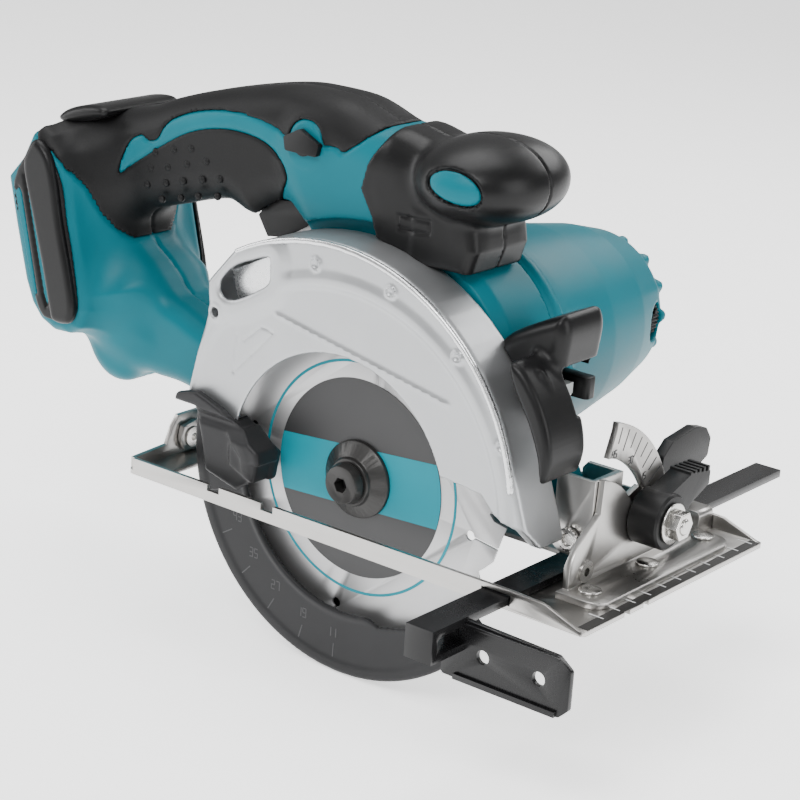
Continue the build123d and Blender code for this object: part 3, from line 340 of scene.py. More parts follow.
guard_dark = finish("guard_dark", (0.016, 0.016, 0.017), 0.42, metal=0.1, grain=0.03, grain_scale=1800,
                    wear=0.08, tint=0.15, specular=0.25)
gloss_black = finish("gloss_black", (0.006, 0.006, 0.0065), 0.25, grain=0.02, grain_scale=1500, wear=0.06,
                     tint=0.2, specular=0.3)
copper = finish("varnished_copper", (0.42, 0.16, 0.06), 0.35, metal=0.9, grain=0.1, grain_scale=1200,
                tint=0.2)
ink_white = finish("pale_ink", (0.62, 0.63, 0.63), 0.5, grain=0.005, tint=0.05)
ink_black = finish("dark_ink", (0.02, 0.02, 0.021), 0.45, grain=0.005, tint=0.1)
lens = finish("lamp_lens", (0.55, 0.58, 0.58), 0.12, grain=0.02, grain_scale=800, tint=0.05, coat=0.5)


def brushed_disc():
    """Ground steel disc: fine rings about the blade axis."""
    m = finish("ground_steel", (0.50, 0.50, 0.505), 0.42, metal=0.8, wear=0.05, tint=0.05)
    nodes, link = m.node_tree.nodes, m.node_tree.links.new
    shader = nodes["Principled BSDF"]
    place = nodes.new("ShaderNodeTexCoord")
    centre = nodes.new("ShaderNodeVectorMath")
    centre.operation = "SUBTRACT"
    centre.inputs[1].default_value = (SPIN[0] * MM, 0, SPIN[1] * MM)
    flat = nodes.new("ShaderNodeVectorMath")
    flat.operation = "MULTIPLY"
    flat.inputs[1].default_value = (1, 0, 1)
    radius = nodes.new("ShaderNodeVectorMath")
    radius.operation = "LENGTH"
    rings = nodes.new("ShaderNodeTexNoise")
    rings.noise_dimensions = "1D"
    rings.inputs["Scale"].default_value = 2600
    rings.inputs["Detail"].default_value = 6
    relief = nodes.new("ShaderNodeBump")
    relief.inputs["Distance"].default_value = 0.0035 * MM
    link(place.outputs["Object"], centre.inputs[0])
    link(centre.outputs["Vector"], flat.inputs[0])
    link(flat.outputs["Vector"], radius.inputs[0])
    link(radius.outputs["Value"], rings.inputs["W"])
    link(rings.outputs["Fac"], relief.inputs["Height"])
    link(relief.outputs["Normal"], shader.inputs["Normal"])
    return m


blade_steel = brushed_disc()


# ---------------------------------------------------------------- piece helpers
def dress(piece, material, body, slot=None, *nodes):
    """Material, body and the CAD nodes that a piece stands for; the record slot is not used."""
    piece.data.materials.clear()
    piece.data.materials.append(material)
    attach(piece, body)
    if nodes:
        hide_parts(*nodes)
    return piece


def solid(name, bm):
    """Linked object of a finished bmesh, its faces turned outwards."""
    mesh = bpy.data.meshes.new(name)
    bmesh.ops.recalc_face_normals(bm, faces=bm.faces)
    bm.to_mesh(mesh)
    bm.free()
    piece = bpy.data.objects.new(name, mesh)
    bpy.context.collection.objects.link(piece)
    return piece


def round_edges(piece, width, segments):
    """Bevel in place, with smooth shading on everything but sharp corners."""
    bevel = piece.modifiers.new("edges", "BEVEL")
    bevel.width = width * MM
    bevel.segments = segments
    bevel.limit_method = "ANGLE"
    bevel.angle_limit = math.radians(SHARP)
    bevel.harden_normals = True
    bevel.use_clamp_overlap = True
    for face in piece.data.polygons:
        face.use_smooth = True
    return piece


def softened(node, name, width=0.3, segments=2):
    """Copy of a CAD node's mesh with its coplanar faces merged and its edges broken."""
    bm = bmesh.new()
    bm.from_mesh(frame["nodes"][node].data)
    bmesh.ops.remove_doubles(bm, verts=bm.verts, dist=2e-6)
    bmesh.ops.dissolve_limit(bm, angle_limit=math.radians(0.6), verts=bm.verts, edges=bm.edges)
    piece = solid(name, bm)
    return round_edges(piece, width, segments)


PLANES = {"xz": (0, 2, 1), "yz": (1, 2, 0), "xy": (0, 1, 2)}


def placed(plane, point, depth):
    """A point drawn in a plane, and its depth across the plane, as coordinates in metres."""
    co = [0.0, 0.0, 0.0]
    for axis, value in zip(PLANES[plane], (point[0], point[1], depth)):
        co[axis] = value * MM
    return co


def extruded(name, outline, near, far, plane="xz", holes=()):
    """Prism of a closed outline in millimetres. The plane names the outline's two axes."""
    bm = bmesh.new()
    loops = [outline] + list(holes)
    for depth in (near, far):
        edges = []
        for loop in loops:
            ring = [bm.verts.new(placed(plane, p, depth)) for p in loop]
            edges += [bm.edges.new((ring[i - 1], ring[i])) for i in range(len(ring))]
        if holes:
            bmesh.ops.triangle_fill(bm, use_beauty=True, edges=edges)
        else:
            bm.faces.new(ring)
    bm.verts.ensure_lookup_table()
    offset = sum(len(loop) for loop in loops)
    start = 0
    for loop in loops:
        for i in range(len(loop)):
            a, b = start + i, start + (i + 1) % len(loop)
            bm.faces.new((bm.verts[a], bm.verts[b], bm.verts[b + offset], bm.verts[a + offset]))
        start += len(loop)
    return solid(name, bm)


def spoke(centre, radius, degrees):
    """Point at a radius and an angle from a centre."""
    turn = math.radians(degrees)
    return centre[0] + radius * math.cos(turn), centre[1] + radius * math.sin(turn)


def circle(centre, radius, count, start=0.0, stop=360.0):
    """Points on a circle or an arc."""
    steps = count if stop - start >= 360 else count - 1
    return [spoke(centre, radius, start + (stop - start) * i / steps) for i in range(count)]


# ---------------------------------------------------------------- handle, mount and arm
GRIP = smooth([(-150, 128), (-137, 131.6), (-124, 135), (-111, 140.2), (-93, 146), (-71, 151.6), (-53, 155),
               (-40, 155.6), (-27, 154), (-17, 151), (-6, 147), (6, 145.5), (16, 140), (18, 125), (4, 108),
               (-20, 104), (-40, 107), (-50, 110.5), (-58, 107), (-64, 102.5), (-70, 102.5), (-80, 105.5),
               (-92, 103.2), (-104, 99.4), (-116, 95.6), (-125, 92.5), (-131, 88), (-134.5, 80), (-142, 76),
               (-152, 88), (-158, 108)])
NECK = smooth([(-44, 146), (-26, 152), (-6, 147), (8, 145.5), (20, 143), (30, 128), (33, 108), (24, 96),
               (0, 92), (-24, 92), (-34, 99), (-38.5, 106), (-44, 118), (-50, 132)])
CORE = smooth([(-168, 100), (-160, 60), (-152, 44), (-140, 40), (-126, 46), (-117, 58), (-117, 66),
               (-127, 72), (-134, 80), (-136, 92), (-134, 104), (-136, 118), (-146, 126), (-158, 122),
               (-166, 112)])
FLANGE = [(-176.6, 101), (-172, 82), (-166, 60), (-162, 51), (-156.5, 45), (-149, 42), (-141, 42.5),
          (-135, 46), (-132.5, 54), (-134, 66), (-137.5, 80), (-140.5, 92), (-143.5, 104), (-147, 114),
          (-152.5, 121), (-158, 124), (-163, 120.5), (-168.5, 110)]
ARM = smooth([(-160, 62), (-152, 44), (-136, 33), (-118, 27.5), (-100, 27), (-80, 24), (-60, 24), (-40, 30),
              (-40, 50), (-62, 52), (-84, 54), (-98, 58.6), (-107, 61.6), (-115, 67), (-124, 74),
              (-140, 80), (-156, 80)])
FOOT = smooth([(-152, 48), (-152, 34), (-147, 25), (-139, 20), (-130, 20.5), (-122, 27), (-117, 33),
               (-112, 44), (-124, 54), (-140, 54)])
# the soft skin over the handle, and the teal band left bare in it
SKIN = [(-164, 140), (-161, 122), (-156.5, 117), (-151, 115), (-147, 111), (-143, 106), (-140, 101),
        (-138, 95), (-136, 90), (-134, 86), (-131, 82), (-127, 79.5), (-122, 79), (-114, 82), (-100, 88),
        (-75, 92), (-66, 98), (-61, 103), (-57, 107), (-53, 112), (-49, 116.5), (-45.8, 121), (-44, 127),
        (-41, 132), (-36, 135), (-30, 136), (-24, 136), (-17.5, 137.5), (-12, 141.5), (-7, 146), (-1, 152),
        (4, 160), (-60, 172), (-170, 160)]
BAND = smooth([(-131, 108), (-130, 115), (-127, 121.5), (-121.5, 124.8), (-117, 123.4), (-112.5, 125),
               (-109.5, 130), (-106, 133.6), (-99, 137), (-90, 139.8), (-80, 141.6), (-70, 142.3),
               (-60, 141.6), (-52, 140), (-46, 138), (-40, 137), (-30, 138), (-20, 138), (-20, 130),
               (-34, 118), (-44.5, 118), (-45.3, 122.5), (-47.5, 127), (-53, 131.4), (-60.5, 134.4),
               (-73, 135.4), (-86, 133.6), (-97, 130), (-107, 124.6), (-118, 117.4), (-126, 112)], 4)
HANDLE_HALF = 17                 # half the width of the handle
MOUNT_HALF = 36.5                # half the width of the battery mount
NEAR_FACE, FAR_FACE = SEAM - HANDLE_HALF, SEAM + HANDLE_HALF
LOCK = (-36.0, 138.0)            # lock-off button
MOUNT_TOP, MOUNT_FOOT = (-177, 101), (-166, 59)     # ends of the mount's tilted rear face


def handle_field(g):
    """The whole moulded body, before it is divided into hard shell and soft skin."""
    grip = slab(g, GRIP, NEAR_FACE, FAR_FACE, 13)
    neck = slab(g, NECK, NEAR_FACE, FAR_FACE, 9)
    core = slab(g, CORE, SEAM - 28, SEAM + 28, 16)
    flange = slab(g, FLANGE, SEAM - MOUNT_HALF, SEAM + MOUNT_HALF, 5)
    arm = slab(g, ARM, NEAR_FACE + 1, FAR_FACE - 1, 8)
    foot = slab(g, FOOT, NEAR_FACE + 1, FAR_FACE - 1, 8)
    body = join(join(core, flange, 10), grip, 12)
    body = join(join(body, arm, 12), foot, 6)
    body = join(body, neck, 8)
    halo = capsule(g, (LOCK[0], NEAR_FACE - 0.6, LOCK[1]), (LOCK[0], FAR_FACE + 0.6, LOCK[1]), 8.6)
    halo = np.maximum(halo, np.abs(g.y - SEAM) - 17.8)
    return join(body, halo, 2.5)


g = Grid((-178, -51.2, 16), (38, 25.2, 157.5), 0.85)
body = handle_field(g)
# the arm's clearance behind the blade guard
guard_disc = away(g, SPIN) - 97.5
body = cut(body, np.maximum(np.maximum(guard_disc, g.y + 24.6), -g.x - 77.5))
skin_area = np.maximum(plan(g, SKIN), -plan(g, BAND))
halo_flat = away(g, LOCK) - 8.4
skin_area = np.maximum(skin_area, -np.where(np.abs(g.y - SEAM) > 10, halo_flat, 99))
# trigger pocket, battery bay and seam line
trigger_pocket = slab(g, [(-71.5, 86), (-71.5, 106), (-68, 118), (-34.5, 119), (-34.5, 88)], -22.8, -3.2, 1)
slope = math.atan2(MOUNT_FOOT[1] - MOUNT_TOP[1], MOUNT_FOOT[0] - MOUNT_TOP[0])
along, inward = (math.cos(slope), math.sin(slope)), (-math.sin(slope), math.cos(slope))


def bay(high, low, outer, inner):
    """Outline measured down the tilted rear face of the mount and inwards from it."""
    return [(MOUNT_TOP[0] + along[0] * a + inward[0] * b, MOUNT_TOP[1] + along[1] * a + inward[1] * b)
            for a, b in ((high, outer), (low, outer), (low, inner), (high, inner))]


bay_hole = slab(g, bay(2, 80, -12, 9), -44, 18, 1)
rails = slab(g, bay(2, 80, 4, 9), -47, 21, 0.5)
body_cut = cut(cut(body, trigger_pocket, 0.8), bay_hole, 0.6)
body_cut = cut(body_cut, rails)
seam_line = np.maximum(np.abs(g.y - SEAM) - 0.5, -(body + 0.7))
hard = np.minimum(np.maximum(body_cut, -(skin_area - 0.45)), np.maximum(body_cut, body + 1.0))
hard = cut(hard, seam_line)
shell = skin("handle_shell", g, hard)
dress(shell, teal, "saw", "teal_plastic", "handle_half_right", "handle_half_left")
soft = np.maximum(np.maximum(body_cut, -(body + 1.9)), skin_area)
soft = cut(soft, np.maximum(np.abs(g.y - SEAM) - 0.45, -(body + 0.6)))
grip_skin = skin("handle_soft_skin", g, soft)
dress(grip_skin, rubber, "saw", "black_rubber", "top_grip_cover", "side_grips")


# ---------------------------------------------------------------- front grip
FRONT_SKIN = [(4, 156), (1.5, 149), (-6, 136), (-8.5, 126), (-3, 117), (-1, 109), (8, 106), (14, 103.5),
              (63, 103.5), (63, 156)]
KNOB_HALF = (25.0, 31.0, 15.6)
KNOB_POWER = 2.1


def knob_field(g):
    """Oval body of the front grip, a little fuller than an ellipsoid."""
    shares = [np.abs(axis - middle) / half
              for axis, middle, half in zip((g.x, g.y, g.z), (KNOB[0], SEAM, KNOB[1]), KNOB_HALF)]
    return (sum(share ** KNOB_POWER for share in shares) ** (1 / KNOB_POWER) - 1) * 17


g = Grid((-10, -45, 100), (62, 19, 153.5), 0.72)
bulb = knob_field(g)
neck_front = slab(g, smooth([(2, 149), (-7, 138), (-9, 126), (-4, 114), (2, 104), (24, 100), (36, 104),
                             (42, 114), (38, 128), (24, 142)]), NEAR_FACE - 0.6, FAR_FACE + 0.6, 9)
pedestal = slab(g, [(14, 102), (40, 102), (43, 112), (40, 124), (14, 124)], -31, 4, 4)
field = join(join(handle_field(g) - 0.5, neck_front, 3), pedestal, 3)
field = join(field, bulb, 3.5)
field = both(field, plan(g, FRONT_SKIN), 0.4)
seam_ring = np.maximum(np.abs(g.y - SEAM) - 0.4, -(field + 0.6))
field = cut(field, seam_ring)
# sunk oval for the inlay, seen square to the surface
AXIS = np.array((0.05, -0.86, 0.51))
AXIS /= np.linalg.norm(AXIS)
ACROSS = np.array((1.0, 0.0, -0.06))
ACROSS -= AXIS * (ACROSS @ AXIS)
ACROSS /= np.linalg.norm(ACROSS)
UP = np.cross(AXIS, ACROSS)
OVAL = (39.5, -42.6, 138.2)


def oval(g, long_half, short_half):
    """Elliptic cylinder along the inlay's axis."""
    dx, dy, dz = g.x - OVAL[0], g.y - OVAL[1], g.z - OVAL[2]
    u = (dx * ACROSS[0] + dy * ACROSS[1] + dz * ACROSS[2]) / long_half
    v = (dx * UP[0] + dy * UP[1] + dz * UP[2]) / short_half
    front = dx * AXIS[0] + dy * AXIS[1] + dz * AXIS[2]
    return np.maximum((np.sqrt(u * u + v * v) - 1) * short_half, -front - 9)


solid_front = field
field = cut(field, np.maximum(oval(g, 10.6, 5.6), -(solid_front + 0.9)), 0.5)
panel_groove = slab(g, [(9, 114.6), (9, 119.8), (23.6, 120.2), (23.6, 115.4)], -40, 0, 0.6)
field = cut(field, np.maximum(np.abs(panel_groove) - 0.45, -(solid_front + 0.7)))
front_skin = skin("front_grip_skin", g, field)
dress(front_skin, smooth_rubber, "saw", "black_rubber", "front_grip_cover")
inlay = both(oval(g, 9.9, 4.9), np.maximum(solid_front + 0.35, -(solid_front + 2.2)), 0.3)
dress(skin("grip_oval", g, inlay), teal, "saw", "teal_plastic", "grip_inlay")


# ---------------------------------------------------------------- battery mount sides
PANEL = smooth([(-172, 100), (-158, 120), (-150, 115), (-143, 104), (-140, 90), (-137, 79), (-133.4, 62),
                (-133, 53), (-138, 47), (-150, 46), (-155, 48), (-159, 55), (-166, 77)], 4)
INSET = [(-170.2, 96), (-168, 98), (-166.4, 96), (-156.6, 56), (-159.2, 56), (-163, 70), (-168.6, 90)]
CHANNEL = [(-165.5, 104), (-162.5, 107), (-148.5, 57), (-151, 51.5), (-153.5, 57)]
BAR = smooth([(-163, 107), (-161, 115), (-156.5, 119.5), (-150, 115), (-146, 106), (-142, 88), (-137.5, 72),
              (-134.5, 60), (-134, 53), (-137, 48.5), (-145, 48), (-147.4, 53), (-152, 70), (-158, 90)], 4)
for name, face, out in (("near", SEAM - MOUNT_HALF, -1), ("far", SEAM + MOUNT_HALF, 1)):
    reach = face + out * 4.2
    g = Grid((-174, min(face - 1.4, reach), 44), (-130, max(face + 1.4, reach), 122), 0.7)
    depth = (g.y - face) * out
    panel = both(plan(g, PANEL) + 1.3, np.abs(depth - 0.1) - 0.7, 0.3)
    panel = cut(panel, np.maximum(plan(g, INSET) - 0.3, -(depth - 0.1)))
    panel = cut(panel, np.maximum(plan(g, CHANNEL), -depth))
    bar = both(plan(g, BAR), np.abs(depth - 1.2) - 2.4, 2.3)
    panel_piece = skin(f"mount_panel_{name}", g, panel)
    dress(panel_piece, smooth_rubber, "saw", "black_rubber")
    bar_piece = skin(f"mount_bar_{name}", g, bar)
    dress(bar_piece, smooth_rubber, "saw", "black_rubber")
    inset = skin(f"mount_inset_{name}", g, both(plan(g, INSET), np.abs(depth + 0.2) - 0.6, 0.25))
    dress(inset, teal, "saw", "teal_plastic")
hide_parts("mount_bumpers")
hump_grid = Grid((-166, SEAM - 26, 121), (-130, SEAM + 26, 136), 0.8)
hump = slab(hump_grid, smooth([(-163, 125), (-158, 129.2), (-148, 132.4), (-139, 133), (-137, 130),
                               (-147, 125.6), (-157, 123)]), SEAM - 22, SEAM + 22, 3)
dress(skin("mount_hump", hump_grid, hump), smooth_rubber, "saw", "black_rubber")

# raised dots moulded into the side grips
dots = bmesh.new()
for x, z in ((-113, 119.5), (-103, 122.5), (-94, 124.5),
             (-115, 113), (-106, 115), (-96, 118), (-86, 121),
             (-117, 106), (-107, 108.5), (-98, 111), (-88, 113.5), (-79, 115.5),
             (-109, 101.5), (-99, 104), (-90, 106.5), (-80, 108.5)):
    for face, out in ((NEAR_FACE, -1), (FAR_FACE, 1)):
        place = Matrix.Translation((x * MM, (face - out * 0.5) * MM, z * MM))
        bmesh.ops.create_icosphere(dots, subdivisions=3, radius=1.6 * MM,
                                   matrix=place @ Matrix.Diagonal((1, 0.8, 1, 1)))
dot_piece = solid("grip_dots", dots)
for face in dot_piece.data.polygons:
    face.use_smooth = True
dress(dot_piece, rubber, "saw", "black_rubber")


# ---------------------------------------------------------------- motor barrel
g = Grid((MOTOR[0] - 51, -1, MOTOR[1] - 51), (MOTOR[0] + 51, 106.5, MOTOR[1] + 51), 0.95)
barrel = turned(g, MOTOR, [(0, 5), (44.5, 5), (45, 12), (43.3, 14.5), (42.3, 20), (40.2, 50), (36, 77),
                           (31.2, 96), (27, 102.5), (22, 105.6), (0, 106)])
barrel = join(barrel, turned(g, MOTOR, [(43, 7.5), (45.9, 7.5), (45.9, 11), (43, 11)]), 1.5)
# raised seams, bolt bosses, the ribbed end and its vents
for turn in (24, 156):
    a, b = spoke(MOTOR, 41.0, turn), spoke(MOTOR, 29.6, turn)
    barrel = join(barrel, capsule(g, (a[0], 17, a[1]), (b[0], 94, b[1]), 1.3), 3.5)
for turn in (78, 205, 268, -4):
    a = spoke(MOTOR, 45.5, turn)
    barrel = join(barrel, capsule(g, (a[0], 0, a[1]), (a[0], 13.5, a[1]), 4.2), 2.5)
for n in range(14):
    a = spoke(MOTOR, 26.6, 360 / 14 * n)
    barrel = join(barrel, capsule(g, (a[0], 96, a[1]), (a[0], 102.6, a[1]), 2.6), 1.2)
for n in range(10):
    a = spoke(MOTOR, 14, 36 * n)
    barrel = cut(barrel, capsule(g, (a[0], 100, a[1]), (a[0], 110, a[1]), 2.3))
brush_y, brush_z = 93.0, MOTOR[1]
for s in (-1, 1):
    pocket = capsule(g, (MOTOR[0] + s * 22, brush_y, brush_z), (MOTOR[0] + s * 44, brush_y, brush_z), 7.7)
    barrel = cut(barrel, pocket, 0.8)
room = turned(g, MOTOR, [(0, -2), (38, -2), (39, 8), (37, 40), (31.5, 74), (27, 92), (0, 92)])
barrel = cut(barrel, room)
dress(skin("motor_barrel", g, barrel), teal, "saw", "teal_plastic", "motor_housing", "motor_end_cover")
caps = []
for s in (-1, 1):
    face = MOTOR[0] + s * 28.5
    inner = face - s * 6
    g = Grid((min(face, inner), brush_y - 8, brush_z - 8), (max(face, inner), brush_y + 8, brush_z + 8), 0.3)
    disc = np.sqrt((g.y - brush_y) ** 2 + (g.z - brush_z) ** 2) - 7.0
    ribs = 0.45 * np.cos((g.z - brush_z) * 2 * math.pi / 1.5)
    flat = (g.x - face) * s + 0.6 + ribs
    cap = both(disc, np.maximum(flat, -(flat + 4.5)), 0.3)
    slot = np.maximum(np.abs((g.y - brush_y) * 0.72 - (g.z - brush_z) * 0.69) - 0.9, disc + 1.2)
    cap = cut(cap, np.maximum(slot, -(flat + 1.4)))
    caps.append(skin(f"brush_cap_{len(caps)}", g, cap))
for piece in caps:
    dress(piece, black_plastic, "saw", "black_plastic")
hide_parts("brush_caps")


# ---------------------------------------------------------------- gear case
COUNTER = (5.568, 35.688)        # countershaft axis
g = Grid((-88, -31, 0), (95, 5.4, 110), 0.95)
case = turned(g, MOTOR, [(0, -25), (42, -25), (44.6, -20), (44.8, 0), (44.8, 5), (0, 5)])
case = join(case, turned(g, SPIN, [(0, -25), (14.6, -25), (14.6, 3), (0, 3)]), 4)
case = join(case, slab(g, [(-14, 20), (-29, 60), (50, 40), (14, 14)], -25, 3, 2), 6)
lug = slab(g, smooth([(40, 30), (52, 44), (66, 46.5), (75, 43), (84, 30), (90.2, 22), (92.4, 17),
                      (91.4, 12), (88, 10.8), (84, 11), (70, 18)], 4), -19.7, -6.3, 1)
case = join(case, lug, 3)
rear_wall = slab(g, [(-29, 60), (-60, 53), (-84, 49.5), (-84, 17), (-70, 14), (-40, 22), (-14, 20)],
                 -23, -3, 2)
case = join(case, rear_wall, 4)
case = np.minimum(case, turned(g, SPIN, [(0, -30), (19.5, -30), (19.5, -24), (0, -24)]))
case = join(case, turned(g, COUNTER, [(0, -19), (26.4, -19), (26.4, 5.2), (0, 5.2)]), 3)
# bores for the gears, the bearings, the armature and the depth pin
for centre, radius, low, high in ((COUNTER, 24, -16, 3.4), (SPIN, 13.9, -15.6, -5), (SPIN, 12.4, -16, 1),
                                  (MOTOR, 38, -1, 6), (MOTOR, 9.4, -5.5, 0), (SPIN, 11, -28, -15),
                                  (SPIN, 9, -40, -20), (COUNTER, 5, -22, -15), (DEPTH_PIN, 3.1, -24, -2)):
    case = cut(case, turned(g, centre, [(0, low), (radius, low), (radius, high), (0, high)]))
dress(skin("gear_case", g, case), teal, "saw", "teal_plastic", "gear_housing")


# ---------------------------------------------------------------- upper guard
GUARD_NEAR, GUARD_FAR = -49.0, -25.0
SCROLL_STEPS = 24


def scroll(offset, start, stop):
    """Points along the guard's outer wall, which widens towards the dust outlet, moved by an offset."""
    turns = [start + (stop - start) * n / SCROLL_STEPS for n in range(SCROLL_STEPS + 1)]
    return [spoke(SPIN, 84 + 0.125 * (turn - 30) + offset, turn) for turn in turns]


GUARD = scroll(0, 21, 124) + [(-66, 82), (-66, 72), (-69, 60), (-73, 43), (-75.5, 32), (-60, 29), (-46, 28),
                              (-20, 17), (88, 17)]
POCKET = smooth([(-60, 84), (-54, 90.5), (-46, 94.6), (-36, 98), (-34.6, 93), (-35.4, 86.5), (-44, 80.5),
                 (-52, 76.4), (-57.5, 76), (-60.6, 79)], 4)
g = Grid((-79, -50.6, 16), (91, -24.5, 116), 0.72)
radial = away(g, SPIN)
# the near face: a rounded rim, a flat band and a step down to the inner field
step = np.clip((76 - radial) / 1.6, 0, 1)
step = step * step * (3 - 2 * step)
saddle = np.clip(-(plan(g, POCKET) - 9) / 5, 0, 1)
near_face = GUARD_NEAR + 0.75 * step * (1 - saddle) - 0.5 * saddle
near_face = near_face + 0.9 * np.clip((radial - 78.5) / 3.0, 0, 1) * (1 - saddle)
body = both(plan(g, GUARD), np.maximum(near_face - g.y, g.y - GUARD_FAR), 2.4)
# the chamber round the blade, open at the bottom, and the opening for the label and the flanges
cavity = plan(g, scroll(-2.3, 14, 124)
              + [(-63.7, 82), (-63.7, 72), (-66.7, 60), (-70.7, 43), (-73.5, 8), (85.7, 8)])
inner = np.maximum(cavity, np.maximum(-47 - g.y, g.y + 27))
body = cut(body, inner)
body = cut(body, np.maximum(radial - 50.6, g.y + 46.5), 0.6)
mouth = plan(g, [(20, 10), (40, 30), (48.6, 34.6), (57.4, 34), (66, 33), (69.5, 29.5), (72, 27), (80, 24),
                 (86.4, 18.5), (87, 10)])
body = cut(body, np.maximum(mouth, g.y + 46), 0.4)
rear_opening = plan(g, [(-85, 20), (-85, 52), (-60, 52), (-60, 20)])
body = cut(body, np.maximum(rear_opening, np.maximum(-47 - g.y, g.y + 27)))
# dust outlet, the hub's bore and the chamfer beside the bevel bracket
pocket = np.maximum(plan(g, POCKET) + 1.2, g.y + 40)
body = cut(body, pocket, 2.2)
body = cut(body, turned(g, SPIN, [(0, -28), (21, -28), (21, -24), (0, -24)]))
corner = distance_2d(g.y, g.z, [(-50, 15), (-50, 27), (-39, 15)])
body = cut(body, np.maximum(corner, 76.5 - g.x), 0.4)
boss = away(g, NOZZLE)
body = join(body, both(boss - 3.6, np.maximum(-49.5 - g.y, g.y + 40), 0.4), 0.8)
body = cut(body, np.maximum(boss - 2.0, g.y + 42))
# small ringed dimples round the rim, a long rib and an engraved outline
for x, z in ((-14.2, 99.1), (20.7, 96.5), (51.6, 80.1), (73.3, 53.0)):
    spot = away(g, (x, z))
    dimple = np.sqrt((g.x - x) ** 2 + (g.z - z) ** 2 + (g.y + 49.8) ** 2) - 1.9
    body = cut(join(body, both(np.abs(spot - 2.0) - 0.35, np.abs(g.y + 48.9) - 0.45, 0.1), 0.3), dimple)
long_rib = capsule(g, (-32, -48.1, 76.5), (49, -48.1, 62), 0.75)
body = join(body, long_rib, 0.5)
for a, b in (((-50.5, 64.2), (-52, 48.5)), ((-52, 48.5), (-32.6, 69.0)), ((-32.6, 69.0), (-38.8, 69.7)),
             ((-38.8, 69.7), (-46.9, 62.7))):
    body = cut(body, capsule(g, (a[0], -48.3, a[1]), (b[0], -48.3, b[1]), 0.42))
# recesses for the heads of the guard's screws
for screw in ((-17, 44), (-22, 78), (38, 62)):
    body = cut(body, np.maximum(away(g, screw) - 3.9, np.maximum(-28 - g.y, g.y + 25.6)))
dress(skin("guard_casting", g, body), cast, "saw", "cast_metal", "upper_guard", "nozzle_insert")
# rim band in the lighter copy of the casting: a painted highlight along the rim
rim_band = plan(g, scroll(0.1, 14, 124) + scroll(-2.2, 124, 14))
rim = both(rim_band, np.abs(g.y + 48.1) - 1.2, 0.7)
dress(skin("guard_rim", g, rim), cast_highlight, "saw", "cast_metal")
# floor of the dust pocket, also in the lighter copy of the casting: painted highlight
chute = extruded("pocket_floor", [(-60, 86), (-34, 99), (-34, 83), (-56, 74)], -41.8, -41.1)
dress(chute, cast_highlight, "saw", "cast_metal")


# ---------------------------------------------------------------- blade, label and flanges
LABEL_NEAR, LABEL_FAR = -33.7, -33.5
label_grey = finish("label_charcoal", (0.022, 0.022, 0.023), 0.45, grain=0.004, tint=0.06)
dress(softened("saw_blade", "blade_plate", 0.06, 1), blade_steel, "blade_set", "blade_steel", "saw_blade")
disc = extruded("blade_label", circle(SPIN, 38.6, 96), LABEL_NEAR, LABEL_FAR,
                holes=[circle(SPIN, 14.4, 48)])
dress(disc, label_grey, "blade_set", "blade_steel")
stripe = extruded("blade_label_band",
                  circle(SPIN, 38.5, 18, -14.3, 23.1) + circle(SPIN, 38.5, 18, 166.3, 200.5),
                  LABEL_NEAR - 0.08, LABEL_FAR - 0.1)
dress(stripe, teal_print, "blade_set", "blade_steel")
ring = extruded("blade_label_ring", circle(SPIN, 45.7, 128), LABEL_NEAR + 0.08, LABEL_FAR,
                holes=[circle(SPIN, 44.6, 128)])
dress(ring, teal_print, "blade_set", "blade_steel")
dress(softened("outer_flange", "flange_outer", 0.25), dark_steel, "blade_set", "black_oxide", "outer_flange")
dress(softened("blade_bolt", "bolt_head", 0.2), dark_steel, "blade_set", "black_oxide", "blade_bolt")


# ---------------------------------------------------------------- lower guard
g = Grid((-79, -53.8, -61), (70, -26.9, 40), 0.75)
radial = away(g, SPIN)
wedge = plan(g, [SPIN] + circle(SPIN, 130, 8, 172, 324))
outer = both(np.maximum(radial - 77, wedge), np.abs(g.y + 33.7) - 6.3, 1.4)
inner = np.maximum(np.maximum(radial - 75.2, wedge - 5), np.abs(g.y + 33.7) - 4.5)
guard = cut(outer, inner)
guard = np.minimum(guard, np.maximum(radial - 26, np.abs(g.y + 28.5) - 1.1))
guard = cut(guard, np.maximum(radial - 52.3, g.y + 37.5))
inner_rim = both(np.maximum(np.abs(radial - 53.4) - 1.1, wedge + 0.5), np.abs(g.y + 39.6) - 0.9, 0.5)
guard = join(guard, inner_rim, 0.6)
step_rim = both(np.maximum(np.abs(radial - 74.6) - 2.2, wedge + 0.3), np.abs(g.y + 39.7) - 0.8, 0.5)
guard = join(guard, step_rim, 0.8)
guard = cut(guard, np.maximum(radial - 19.56, -g.y - 31.5))
front_cut = plan(g, [(4, -21), (5, -31), (18, -36), (40, -30), (46, -20), (70, -30), (70, 30), (10, 10)])
guard = cut(guard, np.maximum(front_cut, g.y + 38))
web = slab(g, [(-48, 14), (-36, 9), (-34, 20), (-44, 29), (-49, 22)], -53, -40, 1.5)
root = slab(g, [(-62, 9), (-36, 9), (-34, 20), (-48, 26), (-61, 20)], -43, -38.4, 1)
# the lever that draws it back: a web with a thumb plate and its ledge
plate = slab(g, [(-68, 34), (-64, 22), (-61, 8), (-45, 4), (-37, 10), (-39, 20), (-52, 30)],
             -51.8, -49.5, 0.8)
ledge = slab(g, [(-77, 33), (-76, 36), (-70, 38), (-66, 38.6), (-53, 34.5), (-43, 27.5), (-38, 20), (-37, 13),
                 (-41, 13), (-42, 18), (-53, 28.5), (-66, 33)], -53.5, -49.5, 0.9)
shelf = slab(g, [(-50, 31.5), (-43, 27.5), (-34, 22), (-33, 17), (-41, 17), (-45, 24)], -53.5, -41, 1.2)
lever = join(join(join(web, root, 2), plate, 1.5), join(ledge, shelf, 1.2), 1.2)
guard = join(guard, lever, 1.5)
